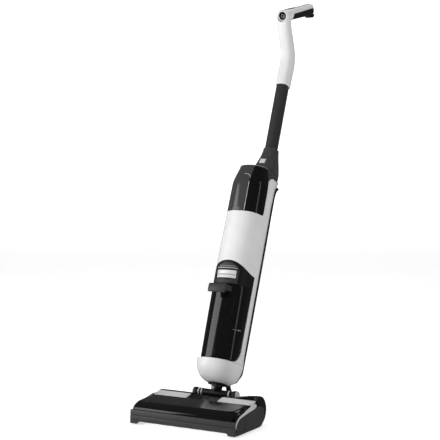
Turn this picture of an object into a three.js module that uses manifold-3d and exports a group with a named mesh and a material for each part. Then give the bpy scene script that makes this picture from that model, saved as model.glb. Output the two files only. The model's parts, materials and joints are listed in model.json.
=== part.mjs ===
// Upright cordless wet and dry floor scrubber, in millimetres, +Z up and -Y to the front.
// The floor head stands on its roller and two rear wheels. The body is modelled upright in a frame of
// its own, whose origin is the tilt pin, and is then leaned back to the angle at which it is parked.
import * as THREE from "three";
import { mergeVertices } from "three/addons/utils/BufferGeometryUtils.js";
import Module from "manifold-3d";

const wasm = await Module();
wasm.setup();

// ---- driving dimensions -------------------------------------------------------------------------
const GAP = 0.4; // between two separate pieces that sit against each other
const HEAD_HALF = 140; // half the floor head's width
const HEAD_FRONT = -156; // front face, measured from the tilt pin
const HEAD_BACK = -32; // rear face of the roller housing
const HEAD_CLEAR = 8; // floor clearance of the head's edges
const PIN_HEIGHT = 58; // tilt pin above the floor
const LEAN = 21.5; // degrees that the parked body leans back
const ROLLER_R = 22.5;
const ROLLER_HALF = 113;
const WHEEL_R = 20;
const WHEEL_Y = 88; // wheel axle behind the tilt pin
const WHEEL_IN = 37;
const WHEEL_OUT = 53;
const DRIVE_R = 35; // round housing behind the right end
const PANEL_T = 3.4; // end panels
const COVER_T = 2.6; // roller cover wall
const BODY_HALF = 48; // half the body's width
const BODY_FRONT = 57; // body axis to its front
const BODY_REAR = 50; // body axis to the back of the white shell
const WALL = 2.4; // body shell
const COVER_WALL = 3; // wall of the back cover and the neck cover
const TANK_WALL = 2;
const LID_WALL = 10;
const CUP_BOTTOM = 23; // these heights run along the body from the tilt pin
const CUP_TOP = 72;
const CUP_FLARE = 2.5; // how far the cup's rim stands out from the body
const LID_SEAM = 254;
const ARCH_SIDE = 270;
const ARCH_TOP = 313;
const CLEAN_SEAM = 438;
const SHELL_TOP = 543;
const TANK_TOP = 562;
const COLLAR_TOP = 638;
const TUBE_Y = 52; // stick tube behind the body axis
const TUBE_HALF = 15;
const TUBE_BOTTOM = 582;
const TUBE_TOP = 842;
const TUBE_WALL = 2;
const STEM_BOTTOM = 814;
const STEM_WALL_X = 2.5; // the stem's sides beyond the tube in it
const STEM_WALL_Y = 3.5;
const STEM_X = TUBE_HALF + STEM_WALL_X;
const STEM_DEPTH = TUBE_HALF + STEM_WALL_Y;
const HANDLE_WALL = 3;
const KNOB_R = 14.5;

// ---- solids -------------------------------------------------------------------------------------
const ROUND = 28; // sides of a round section

function toSolid(geometry) {
  const bare = geometry.index ? geometry.toNonIndexed() : geometry.clone();
  for (const name of ["normal", "uv"]) bare.deleteAttribute(name);
  const merged = mergeVertices(bare, 1e-4);
  return new wasm.Manifold(
    new wasm.Mesh({
      numProp: 3,
      vertProperties: new Float32Array(merged.attributes.position.array),
      triVerts: new Uint32Array(merged.index.array),
    }),
  );
}

function toGeometry(solid) {
  const mesh = solid.simplify(0.004).getMesh();
  return new THREE.BufferGeometry()
    .setAttribute("position", new THREE.BufferAttribute(new Float32Array(mesh.vertProperties), 3))
    .setIndex(new THREE.BufferAttribute(new Uint32Array(mesh.triVerts), 1));
}

const union = (...solids) => solids.reduce((a, b) => a.add(b));

function box(x0, x1, y0, y1, z0, z1) {
  const geometry = new THREE.BoxGeometry(x1 - x0, y1 - y0, z1 - z0);
  return toSolid(geometry.translate((x0 + x1) / 2, (y0 + y1) / 2, (z0 + z1) / 2));
}

// A cylinder along an axis ("x", "y" or "z") from a to b, through the point at (u, v) of the other two axes.
function rod(axis, a, b, u, v, radius, sides = ROUND) {
  const geometry = new THREE.CylinderGeometry(radius, radius, b - a, sides);
  const middle = (a + b) / 2;
  if (axis === "x") geometry.rotateZ(-Math.PI / 2).translate(middle, u, v);
  if (axis === "y") geometry.translate(u, middle, v);
  if (axis === "z") geometry.rotateX(Math.PI / 2).translate(u, v, middle);
  return toSolid(geometry);
}

const pipe = (axis, a, b, u, v, outer, inner, sides = ROUND) =>
  rod(axis, a, b, u, v, outer, sides).subtract(rod(axis, a - 1, b + 1, u, v, inner, sides));

// A side view outline of [y, z] points, given thickness from x0 to x1.
function slabX(outline, x0, x1) {
  const shape = new THREE.Shape(outline.map(([y, z]) => new THREE.Vector2(y, z)));
  const geometry = new THREE.ExtrudeGeometry(shape, { depth: x1 - x0, bevelEnabled: false });
  const turn = new THREE.Matrix4().set(0, 0, 1, x0, 1, 0, 0, 0, 0, 1, 0, 0, 0, 0, 0, 1);
  return toSolid(geometry.applyMatrix4(turn));
}

// A front view outline of [x, z] points, given thickness from y0 to y1.
function slabY(outline, y0, y1) {
  const shape = new THREE.Shape(outline.map(([x, z]) => new THREE.Vector2(x, z)));
  const geometry = new THREE.ExtrudeGeometry(shape, { depth: y1 - y0, bevelEnabled: false });
  return toSolid(geometry.rotateX(Math.PI / 2).translate(0, y1, 0));
}

// A closed skin over rings of points that all have the same count.
function loft(rings) {
  const count = rings[0].length;
  const centre = (ring) => ring.reduce((sum, p) => sum.add(p), new THREE.Vector3()).divideScalar(count);
  const points = [...rings.flat(), centre(rings[0]), centre(rings[rings.length - 1])];
  const first = rings.length * count;
  const last = (rings.length - 1) * count;
  const faces = [];
  for (let i = 0; i < count; i++) {
    const j = (i + 1) % count;
    for (let k = 0; k < rings.length - 1; k++) {
      const low = k * count;
      const high = low + count;
      faces.push(low + i, low + j, high + j, low + i, high + j, high + i);
    }
    faces.push(first, j, i, first + 1, last + i, last + j);
  }
  const geometry = new THREE.BufferGeometry().setFromPoints(points).setIndex(faces);
  return toSolid(geometry);
}

// An oval ring at height z: half width, depth to the front and to the rear of y = middle, and squareness.
function ring(z, half, front, rear, square = 2.65, middle = 0, count = 36) {
  const power = 2 / square;
  return Array.from({ length: count }, (_, i) => {
    const angle = (2 * Math.PI * i) / count;
    const c = Math.cos(angle);
    const s = Math.sin(angle);
    const depth = s < 0 ? front : rear;
    return new THREE.Vector3(
      half * Math.sign(c) * Math.abs(c) ** power,
      middle + depth * Math.sign(s) * Math.abs(s) ** power,
      z,
    );
  });
}

// ---- nodes --------------------------------------------------------------------------------------
const finish = (color, roughness, metalness = 0) => ({ color, roughness, metalness });
const WHITE = finish(0xf2f2f2, 0.3);
const GLOSS_BLACK = finish(0x101113, 0.15);
const SATIN_BLACK = finish(0x1a1b1d, 0.5);
const DARK_GREY = finish(0x3c3d40, 0.45);
const SMOKED = finish(0x17181a, 0.1);
const SILVER = finish(0xd5d7d9, 0.3, 0.7);
const RUBBER = finish(0x202020, 0.85);
const PILE = finish(0xe9e9e6, 0.95);
const STEEL = finish(0xa9abad, 0.35, 1);
const COPPER_GREEN = finish(0x1d5a3a, 0.6);

function put(group, name, solid, look) {
  const material = new THREE.MeshStandardMaterial(look);
  const mesh = new THREE.Mesh(toGeometry(solid), material);
  mesh.name = name;
  group.add(mesh);
}

const root = new THREE.Group();
const leaned = new THREE.Group();
leaned.position.set(0, 0, PIN_HEIGHT);
leaned.rotation.x = -THREE.MathUtils.degToRad(LEAN);
root.add(leaned);

// ---- floor head ---------------------------------------------------------------------------------
const ROLLER_Y = HEAD_FRONT + 27;
const SIDE_IN = ROLLER_HALF + 9; // inner face of the chassis side plates
const SIDE_OUT = SIDE_IN + 3;
const PANEL_IN = HEAD_HALF - PANEL_T;
const COVER_HALF = HEAD_HALF - 9;
const STRIP_FRONT = HEAD_FRONT + 88;
const STRIP_BACK = HEAD_FRONT + 113;
const NECK_HALF = 42; // half the recess in the head that the neck tilts into
const PANEL_BASE = 2; // floor clearance of the end panels
// The top skin in side view, from the front band over the roller to the rear edge.
const SKIN = [
  [HEAD_FRONT + 1.8, 37.4],
  [HEAD_FRONT + 8, 43.5],
  [HEAD_FRONT + 17, 48],
  [HEAD_FRONT + 24, 50.4],
  [HEAD_FRONT + 55, 52.6],
  [STRIP_FRONT, 55],
  [STRIP_BACK, 60.5],
  [HEAD_BACK, 61],
];
function skinHeight(y) {
  const i = Math.max(1, SKIN.findIndex(([py]) => py >= y));
  const [[y0, z0], [y1, z1]] = [SKIN[i - 1], SKIN[i]];
  return z0 + ((z1 - z0) * (y - y0)) / (y1 - y0);
}
// The strip of the side view between the skin lowered by a and the skin lowered by b.
function underSkin(y0, y1, a, b) {
  const inside = SKIN.map(([y]) => y).filter((y) => y > y0 && y < y1);
  const ys = [y0, ...inside, y1];
  const top = ys.map((y) => [y, skinHeight(y) - a]);
  const bottom = ys.map((y) => [y, skinHeight(y) - b]).reverse();
  return [...bottom.reverse(), ...top.reverse()];
}
// The outline of an end panel; inset moves it inwards.
function endOutline(inset = 0) {
  const front = HEAD_FRONT + 5 + inset;
  const back = HEAD_FRONT + 135 - inset;
  const base = PANEL_BASE + inset;
  return [
    [front + 2, base],
    [back - 20, base],
    [back - 7, base + 7],
    [back, base + 20],
    [back, 36 - inset],
    [back - 7, 45 - inset],
    [back - 18, 49.5 - inset],
    [HEAD_FRONT + 92, 48.6 - inset],
    [HEAD_FRONT + 46, 42.6 - inset],
    [HEAD_FRONT + 21, 37.7 - inset],
    [front + 4, 29 - inset],
    [front, base + 4],
  ];
}

const MOTOR_Y = HEAD_FRONT + 133;
const MOTOR_Z = 36;
const MOTOR_R = 13.5;
const DRIVE_Y = HEAD_FRONT + 118;
const DRIVE_FRONT = STRIP_BACK + 3;
const PINION_R = 6;
const PULLEY_R = 10;
const BELT_T = 1.5;
const SHAFT_R = 4;
const AXLE_R = 4;

// The bulge behind the right end of the head that holds the roller motor; inset moves it inwards.
function driveBulge(inset, x0, x1) {
  const thin = rod("x", 60, 61, HEAD_FRONT + 126, MOTOR_Z, DRIVE_R - 10 - inset);
  const thick = rod("x", SIDE_OUT, HEAD_HALF, DRIVE_Y, MOTOR_Z, DRIVE_R - inset, 36);
  const whole = wasm.Manifold.hull([thin, thick]);
  return whole.intersect(box(x0, x1, DRIVE_FRONT + inset, 60, HEAD_CLEAR + inset, 90));
}

function driveHousing() {
  const x0 = 60;
  const x1 = SIDE_OUT - 4;
  const shaft = rod("x", x1 - 10, x1 + 5, MOTOR_Y, MOTOR_Z, 8);
  return driveBulge(0, x0, x1).subtract(driveBulge(3, x0 + 3, x1 - 3)).subtract(shaft);
}

function chassis() {
  const bayFront = HEAD_FRONT + 58;
  const tray = box(-SIDE_OUT, SIDE_OUT, bayFront, HEAD_BACK - GAP, HEAD_CLEAR + 1, 70);
  const room = box(-SIDE_IN, SIDE_IN, bayFront + 3, HEAD_BACK - 3 - GAP, HEAD_CLEAR + 4, 80);
  let solid = tray.subtract(room);
  for (const x of [-SIDE_OUT, SIDE_IN]) {
    solid = solid.add(box(x, x + 3, HEAD_FRONT + 8, bayFront + 1, HEAD_CLEAR + 1, 70));
  }
  solid = solid.subtract(rod("x", -SIDE_OUT - 1, SIDE_OUT + 1, ROLLER_Y, ROLLER_R, 8));
  // The mouth through which the dirty water leaves the roller chamber.
  solid = solid.subtract(box(-18, 18, bayFront - 1, bayFront + 4, 18, 40));
  // The bulge's motor needs the tray's right rear corner, and the covers lie on top.
  solid = solid.subtract(box(60 - GAP, SIDE_OUT + 1, DRIVE_FRONT - GAP, 60, 0, 90));
  const under = slabX(underSkin(HEAD_FRONT + 3, HEAD_BACK, COVER_T + GAP + 0.6, 70), -HEAD_HALF, HEAD_HALF);
  return union(solid.intersect(under), endHousing(1), endHousing(-1));
}

function rollerCover() {
  const skin = slabX(underSkin(HEAD_FRONT + 1.8, STRIP_FRONT - GAP, 0, COVER_T), -COVER_HALF, COVER_HALF);
  const rib = slabX(underSkin(HEAD_FRONT + 53, HEAD_FRONT + 56, COVER_T - 1, 8), -SIDE_IN + 1, SIDE_IN - 1);
  return union(skin, rib);
}

// The satin panel that lies on the gloss cover.
function topPanel() {
  const plate = slabX(underSkin(HEAD_FRONT + 22, STRIP_FRONT - 5, -1.4, -GAP), -COVER_HALF, COVER_HALF);
  const a = 119;
  const plan = new THREE.Shape([
    new THREE.Vector2(-a, HEAD_FRONT),
    new THREE.Vector2(a, HEAD_FRONT),
    new THREE.Vector2(a + 9, STRIP_FRONT),
    new THREE.Vector2(-a - 9, STRIP_FRONT),
  ]);
  const prism = new THREE.ExtrudeGeometry(plan, { depth: 90, bevelEnabled: false });
  return plate.intersect(toSolid(prism));
}

// One side's bright trim: a strip over the back of the cover and a band down the shoulder to the front.
function trim(side) {
  const [a, b] = [side * NECK_HALF, side * COVER_HALF].sort((p, q) => p - q);
  const strip = slabX(underSkin(STRIP_FRONT, STRIP_BACK, 0, 3), a, b);
  const [c, d] = [side * (COVER_HALF + GAP), side * (HEAD_HALF - 1)].sort((p, q) => p - q);
  const band = slabX(underSkin(HEAD_FRONT + 6, STRIP_BACK, 1.2, 4), c, d);
  const [e, f] = [side * (COVER_HALF - 1), side * (HEAD_HALF - 1)].sort((p, q) => p - q);
  const bridge = slabX(underSkin(STRIP_FRONT + 1, STRIP_BACK, 1.2, 3), e, f);
  return union(strip, band, bridge);
}

function rearCover() {
  const roof = slabX(underSkin(STRIP_BACK + GAP, HEAD_BACK, 0, 3), -COVER_HALF, COVER_HALF);
  const half = SIDE_OUT - 1 - GAP;
  const wall = box(-half, half, HEAD_BACK, HEAD_BACK + 3, 20, skinHeight(HEAD_BACK) - 0.5);
  const lip = box(-half, half, HEAD_BACK - 3, HEAD_BACK + 3, 57.5, skinHeight(HEAD_BACK) - 0.5);
  const recess = box(-NECK_HALF, NECK_HALF, STRIP_BACK, HEAD_BACK + 4, 48, 80);
  const bulge = box(60 - GAP, HEAD_HALF, DRIVE_FRONT - GAP, 60, 0, 90);
  return union(roof, wall, lip).subtract(recess).subtract(bulge);
}

function frontBand() {
  const front = HEAD_FRONT;
  const outline = [[front + 0.4, 21.4], [front + 3.4, 21.4], [front + 4.4, 34.4], [front + 1.6, 34.4]];
  return slabX(outline, -HEAD_HALF + 1, HEAD_HALF - 1);
}

function bumper() {
  let solid = box(-HEAD_HALF + 1, HEAD_HALF - 1, HEAD_FRONT, HEAD_FRONT + 3, HEAD_CLEAR, 21);
  for (const side of [-1, 1]) {
    const outline = [
      [side * (HEAD_HALF - 1), PANEL_BASE],
      [side * (HEAD_HALF - 1), 20],
      [side * (ROLLER_HALF + 3), 20],
      [side * (ROLLER_HALF + 3), HEAD_CLEAR],
      [side * (ROLLER_HALF + 8), PANEL_BASE],
    ];
    solid = solid.add(slabY(side > 0 ? outline : outline.reverse(), HEAD_FRONT, HEAD_FRONT + 4.4));
  }
  return solid;
}

// The hollow side housing round the belt or the roller's bearing, closed outside by its end panel.
function endHousing(side) {
  const [a, b] = [side * (SIDE_OUT - 1), side * (PANEL_IN - GAP)].sort((p, q) => p - q);
  let full = slabX(endOutline(0.6), a, b);
  let room = slabX(endOutline(3.2), a - 1, b + 1);
  if (side > 0) {
    full = full.add(driveBulge(0, a, b));
    room = room.add(driveBulge(3, a - 1, PANEL_IN - 3.4));
  }
  return full.subtract(room);
}

function endPanel(side) {
  const [a, b] = [side * PANEL_IN, side * HEAD_HALF].sort((p, q) => p - q);
  return slabX(endOutline(), a, b);
}

function belt() {
  const [a, b] = [SIDE_OUT + 1.5, SIDE_OUT + 6.5];
  const hull = (grow) =>
    wasm.Manifold.hull([
      rod("x", a, b, ROLLER_Y, ROLLER_R, PULLEY_R + grow),
      rod("x", a, b, MOTOR_Y, MOTOR_Z, PINION_R + grow),
    ]);
  return hull(GAP + BELT_T).subtract(
    wasm.Manifold.hull([
      rod("x", a - 1, b + 1, ROLLER_Y, ROLLER_R, PULLEY_R + GAP),
      rod("x", a - 1, b + 1, MOTOR_Y, MOTOR_Z, PINION_R + GAP),
    ]),
  );
}

function rearFrame() {
  const y0 = HEAD_BACK + 3 + GAP;
  const deck = union(box(-57, 57, y0, 17, 10, 26), box(-34, 34, 15, WHEEL_Y + 14, 10, 26));
  const hollow = union(box(-54, 54, y0 + 3, 14, 5, 23), box(-31, 31, 12, WHEEL_Y + 11, 5, 23));
  let solid = deck.subtract(hollow);
  for (const side of [-1, 1]) {
    const [a, b] = [side * 49, side * 57].sort((p, q) => p - q);
    solid = solid.add(wasm.Manifold.hull([box(a, b, -22, 16, 22, 26), rod("x", a, b, 0, PIN_HEIGHT, 10)]));
    const [c, d] = [side * 28, side * 34].sort((p, q) => p - q);
    solid = solid.add(rod("x", c, d, WHEEL_Y, WHEEL_R, 9));
  }
  solid = solid.subtract(rod("x", -60, 60, 0, PIN_HEIGHT, 5.4));
  // The hose arm of the neck swings through a slot in the deck.
  solid = solid.subtract(box(14, 40, -24, 42, 20, 30));
  return solid.subtract(rod("x", -60, 60, WHEEL_Y, WHEEL_R, AXLE_R + GAP));
}

function buildHead() {
  const head = new THREE.Group();
  put(head, "chassis", chassis(), SATIN_BLACK);
  put(head, "roller_cover", rollerCover(), GLOSS_BLACK);
  put(head, "cover_top_panel", topPanel(), DARK_GREY);
  put(head, "trim_right", trim(1), SILVER);
  put(head, "trim_left", trim(-1), SILVER);
  put(head, "rear_cover", rearCover(), SATIN_BLACK);
  put(head, "front_band", frontBand(), DARK_GREY);
  put(head, "front_bumper", bumper(), SATIN_BLACK);
  put(head, "drive_housing", driveHousing(), SATIN_BLACK);
  for (const [side, name] of [[1, "right"], [-1, "left"]]) {
    put(head, "end_panel_" + name, endPanel(side), DARK_GREY);
    const [a, b] = [side * WHEEL_IN, side * WHEEL_OUT].sort((p, q) => p - q);
    const tyre = pipe("x", a, b, WHEEL_Y, WHEEL_R, WHEEL_R, WHEEL_R - 4, 32);
    const hub = pipe("x", a + 1, b - 1, WHEEL_Y, WHEEL_R, WHEEL_R - 4 - GAP, AXLE_R + GAP, 32);
    put(head, "wheel_tyre_" + name, tyre, RUBBER);
    put(head, "wheel_hub_" + name, hub, SATIN_BLACK);
  }
  put(head, "wheel_axle", rod("x", -WHEEL_OUT + 1, WHEEL_OUT - 1, WHEEL_Y, WHEEL_R, AXLE_R), STEEL);
  put(head, "rear_frame", rearFrame(), SATIN_BLACK);
  const latch = slabX(underSkin(STRIP_FRONT + 1, STRIP_BACK - 1, 1.5, 5), -NECK_HALF + 2, NECK_HALF - 2);
  put(head, "cover_latch", latch, SATIN_BLACK);

  const pile = pipe("x", -ROLLER_HALF, ROLLER_HALF, ROLLER_Y, ROLLER_R, ROLLER_R, 17 + GAP, 36);
  const core = union(
    rod("x", -ROLLER_HALF - 1, ROLLER_HALF + 1, ROLLER_Y, ROLLER_R, 17, 32),
    rod("x", -SIDE_OUT - 4, -ROLLER_HALF, ROLLER_Y, ROLLER_R, 7),
  );
  const pulley = union(
    rod("x", SIDE_OUT + 1, SIDE_OUT + 7, ROLLER_Y, ROLLER_R, PULLEY_R),
    rod("x", ROLLER_HALF + 1.5, SIDE_OUT + 3, ROLLER_Y, ROLLER_R, 7),
  );
  put(head, "roller_pile", pile, PILE);
  put(head, "roller_core", core, SATIN_BLACK);
  put(head, "roller_pulley", pulley, SATIN_BLACK);
  put(head, "brush_motor", rod("x", 68, SIDE_OUT - 8, MOTOR_Y, MOTOR_Z, MOTOR_R), STEEL);
  const pinion = union(
    rod("x", SIDE_OUT + 1, SIDE_OUT + 7, MOTOR_Y, MOTOR_Z, PINION_R),
    rod("x", SIDE_OUT - 8 + GAP, SIDE_OUT + 3, MOTOR_Y, MOTOR_Z, SHAFT_R),
  );
  put(head, "motor_pinion", pinion, STEEL);
  put(head, "drive_belt", belt(), RUBBER);
  const scraper = box(-ROLLER_HALF + 1, ROLLER_HALF - 1, HEAD_FRONT + 50, HEAD_FRONT + 52.6, 32, 44);
  put(head, "roller_scraper", scraper, RUBBER);
  const duct = box(-17, 17, HEAD_FRONT + 62, HEAD_BACK - 4, HEAD_CLEAR + 5, 42);
  const bore = box(-14.5, 14.5, HEAD_FRONT + 61, HEAD_BACK - 7, HEAD_CLEAR + 7, 39.5);
  put(head, "suction_duct", duct.subtract(bore), SATIN_BLACK);
  const squeegee = box(-112, 112, HEAD_FRONT + 60, HEAD_FRONT + 64, 1.2, HEAD_CLEAR + 0.6);
  put(head, "floor_squeegee", squeegee, RUBBER);
  root.add(head);
}

// ---- neck ---------------------------------------------------------------------------------------
const SWING_Z = 10; // swing pin above the tilt pin
const BARREL_R = 8.6;
const HOSE = { x: 26, y: 27, low: -8, arm: 12 };

function buildNeck() {
  const arm = box(HOSE.x - 8, HOSE.x + 8, 3, HOSE.y + 8, HOSE.low - HOSE.arm, HOSE.low - GAP);
  const knuckle = union(rod("y", -8.6, 8.6, 0, SWING_Z, 7), box(-7, 7, -8.6, 8.6, 0, SWING_Z));
  const link = box(HOSE.x - 8, HOSE.x + 8, 0, 7, HOSE.low - HOSE.arm, 0);
  const barrel = union(rod("x", -48.4, 48.4, 0, 0, BARREL_R), knuckle, arm, link)
    .subtract(rod("x", -50, 50, 0, 0, 5.4))
    .subtract(rod("y", -9, 9, 0, SWING_Z, 3.4));
  put(leaned, "tilt_barrel", barrel, SATIN_BLACK);
  put(leaned, "tilt_pin", rod("x", -58, 58, 0, 0, 5), SILVER);
  put(leaned, "swing_pin", rod("y", -17, 17, 0, SWING_Z, 3), STEEL);
  const top = CUP_BOTTOM - GAP;
  const ears = [-1, 1].map((side) => {
    const [a, b] = [side * 9, side * 15].sort((p, q) => p - q);
    return wasm.Manifold.hull([rod("y", a, b, 0, SWING_Z, 6.5), box(-7, 7, a, b, top - 3, top)]);
  });
  const plate = rod("z", top - 3, top, 0, 0, 23).subtract(rod("z", top - 4, top + 1, 14, HOSE.y, 9));
  put(leaned, "neck_fork", union(plate, ...ears).subtract(rod("y", -18, 18, 0, SWING_Z, 3.4)), SATIN_BLACK);
  const route = [[HOSE.x, HOSE.y, HOSE.low], [HOSE.x - 1, HOSE.y + 1, 2], [HOSE.x - 7, HOSE.y + 1, 12], [15, 25, top]];
  const curve = new THREE.CatmullRomCurve3(route.map((p) => new THREE.Vector3(...p)));
  const section = new THREE.Shape().absarc(0, 0, 6.5, 0, 2 * Math.PI);
  const hose = new THREE.ExtrudeGeometry(section, { steps: 12, curveSegments: 6, extrudePath: curve });
  const room = box(-60, 60, -60, 60, HOSE.low, top);
  put(leaned, "dirty_water_hose", toSolid(hose).intersect(room), RUBBER);
}

// ---- main body ----------------------------------------------------------------------------------
// Height, half width, front depth and rear depth of the outside of the body.
const CUP_RINGS = [
  [CUP_BOTTOM, 26, 32, 27],
  [CUP_BOTTOM + 4, 33, 40.5, 34],
  [CUP_BOTTOM + 11, 39.6, 49.5, 41],
  [CUP_BOTTOM + 22, 45.6, 58, 46],
  [CUP_BOTTOM + 34, 49, 62, 48.8],
  [CUP_TOP, BODY_HALF + CUP_FLARE, BODY_FRONT + 6.4, BODY_REAR],
];
const SHELL_RINGS = [
  [CUP_TOP + GAP, BODY_HALF + CUP_FLARE, BODY_FRONT + 6.4, BODY_REAR],
  [CUP_TOP + 18, BODY_HALF + 1, BODY_FRONT + 2.4, BODY_REAR],
  [CUP_TOP + 48, BODY_HALF, BODY_FRONT + 0.6, BODY_REAR],
  [CLEAN_SEAM, BODY_HALF - 0.5, BODY_FRONT - 0.5, BODY_REAR],
  [SHELL_TOP - 34, BODY_HALF - 1, BODY_FRONT - 1, BODY_REAR + 1],
  [SHELL_TOP - 18, BODY_HALF - 1.6, BODY_FRONT - 2, BODY_REAR + 6],
  [SHELL_TOP - 8, BODY_HALF - 2.2, BODY_FRONT - 3, BODY_REAR + 15],
  [SHELL_TOP, BODY_HALF - 3, BODY_FRONT - 4, BODY_REAR + 22],
];
// The dirty tank narrows downwards, so that the cup's rim stands out below it.
const TANK_RINGS = [
  [CUP_TOP + GAP, BODY_HALF - 1.5, BODY_FRONT - 6.5, BODY_REAR],
  [LID_SEAM - 90, BODY_HALF - 0.8, BODY_FRONT - 2.6, BODY_REAR],
  [LID_SEAM + 1, BODY_HALF - 0.4, BODY_FRONT, BODY_REAR],
];
const TOP_RINGS = [
  [CLEAN_SEAM + GAP, BODY_HALF - 0.5, BODY_FRONT - 0.5, BODY_REAR],
  [CLEAN_SEAM + 74, BODY_HALF - 1, BODY_FRONT - 1, BODY_REAR + 3],
  [SHELL_TOP - 10, BODY_HALF - 4, BODY_FRONT - 5.8, BODY_REAR + 16],
  [SHELL_TOP + 5, BODY_HALF - 7.6, BODY_FRONT - 10.8, BODY_REAR + 24],
  [TANK_TOP - 3, BODY_HALF - 10.4, BODY_FRONT - 14.6, BODY_REAR + 26],
  [TANK_TOP, BODY_HALF - 12.6, BODY_FRONT - 17, BODY_REAR + 25],
];
const skinOf = (rings, inset = 0, low = 0, high = 0) =>
  loft(
    rings.map(([z, half, front, rear], i) => {
      const lift = i === 0 ? -low : i === rings.length - 1 ? high : 0;
      return ring(z + lift, half - inset, front - inset, rear - inset);
    }),
  );

const SPLIT_Y = -12; // the clean tank lies in front of this plane
// The space of the dirty tank and its lid in side view, with the round corner where the white shell sweeps up.
function bay(gap) {
  const back = -gap;
  const base = CUP_TOP + GAP + gap;
  const corner = 36;
  const outline = [[-90, base], [back - corner, base]];
  for (let i = 1; i <= 6; i++) {
    const angle = (Math.PI / 2) * (i / 6);
    outline.push([back - corner + corner * Math.sin(angle), base + corner * (1 - Math.cos(angle))]);
  }
  outline.push([back, 330], [-90, 330]);
  const side = slabX(outline, -BODY_HALF - 12, BODY_HALF + 12);
  const half = BODY_HALF + 4;
  const arch = [[-half - 8, 40], [half + 8, 40]];
  const rise = ARCH_TOP - ARCH_SIDE;
  for (let i = 0; i <= 14; i++) {
    const x = half + 4 - ((half + 4) / 7) * i;
    arch.push([x, ARCH_SIDE - gap + rise * Math.sqrt(Math.max(0, 1 - (x / half) ** 2))]);
  }
  return side.intersect(slabY(arch, -95, 10));
}

function shell() {
  const solid = skinOf(SHELL_RINGS).subtract(skinOf(SHELL_RINGS, WALL, 1, 1));
  const cleanBay = box(-70, 70, -80, SPLIT_Y, CLEAN_SEAM, 600);
  const tubeWay = box(-20, 20, 60, 80, SHELL_TOP - 1, SHELL_TOP + 1);
  return solid.subtract(bay(0)).subtract(cleanBay).subtract(tubeWay);
}

function backCover() {
  const rings = [
    [CUP_BOTTOM + 12, 28, 20, 49],
    [CUP_TOP - 10, 36, 24, 59],
    [SHELL_TOP - 36, 36, 24, 60],
    [SHELL_TOP - 18, 36, 24, 65],
    [SHELL_TOP - 6, 36, 24, 76],
  ];
  const last = rings.length - 1;
  const block = (wall) =>
    loft(
      rings.map(([z, half, front, rear], i) => {
        const deep = (rear - wall - front) / 2;
        const height = z + (i === 0 ? wall : i === last ? -wall : 0);
        return ring(height, half - wall, deep, deep, 4, front + deep, 28);
      }),
    );
  const body = skinOf([...CUP_RINGS, ...SHELL_RINGS.slice(1)], -GAP);
  let cut = block(0).subtract(block(COVER_WALL)).subtract(body);
  for (let i = 0; i < 5; i++) {
    const z = 350 + 9 * i;
    cut = cut.subtract(box(-16, 16, 40, 70, z, z + 4));
  }
  return cut;
}

function cup() {
  const solid = skinOf(CUP_RINGS).subtract(skinOf(CUP_RINGS, WALL, -3, 1));
  return solid.subtract(rod("z", CUP_BOTTOM - 1, CUP_BOTTOM + 4, 15, 25, 6.5));
}

function dirtyTank() {
  const whole = skinOf(TANK_RINGS).intersect(bay(GAP)).intersect(box(-70, 70, -90, 20, 60, LID_SEAM));
  const hollow = skinOf(TANK_RINGS, TANK_WALL, 0, 5)
    .intersect(bay(GAP + TANK_WALL))
    .intersect(box(-70, 70, -90, 20, 60, LID_SEAM + 5));
  return whole.subtract(hollow);
}

const LATCH = { half: 26, low: 269, high: 287, depth: 6 };
function tankLid() {
  const whole = skinOf(SHELL_RINGS).intersect(bay(GAP)).intersect(box(-70, 70, -90, 20, LID_SEAM + GAP, 400));
  const hollow = skinOf(SHELL_RINGS, LID_WALL)
    .intersect(bay(GAP + TANK_WALL + 2))
    .intersect(box(-70, 70, -44, 20, 60, 400));
  const pocket = box(-LATCH.half - 1.5, LATCH.half + 1.5, -90, -BODY_FRONT + 10, LATCH.low - 6, LATCH.high + 6);
  return whole.subtract(hollow).subtract(pocket);
}

function latch() {
  const slab = box(-LATCH.half, LATCH.half, -90, -BODY_FRONT + LATCH.depth, LATCH.low, LATCH.high);
  return skinOf(SHELL_RINGS, 0.6).intersect(slab);
}

const GRIP_HALF = 22.5;
function tankGrip() {
  const outline = [[-50, 236], [-82, 236], [-84, 225], [-88, 225], [-89.5, 229], [-89.5, 241], [-87, 246], [-50, 248]];
  return slabX(outline.reverse(), -GRIP_HALF, GRIP_HALF).subtract(skinOf(TANK_RINGS, -GAP));
}

const FILLER = { x: -18, height: 500, r: 9 }; // the capped hole in the clean tank's back wall
function cleanTank() {
  const outside = skinOf(TOP_RINGS).intersect(box(-70, 70, -80, SPLIT_Y - GAP, 400, 600));
  const back = SPLIT_Y - GAP - TANK_WALL;
  const inside = skinOf(TOP_RINGS, TANK_WALL, -TANK_WALL, -TANK_WALL).intersect(box(-70, 70, -80, back, 400, 620));
  const filler = rod("y", back - 3, SPLIT_Y, FILLER.x, FILLER.height, FILLER.r);
  return outside.subtract(inside).subtract(filler);
}

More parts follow.
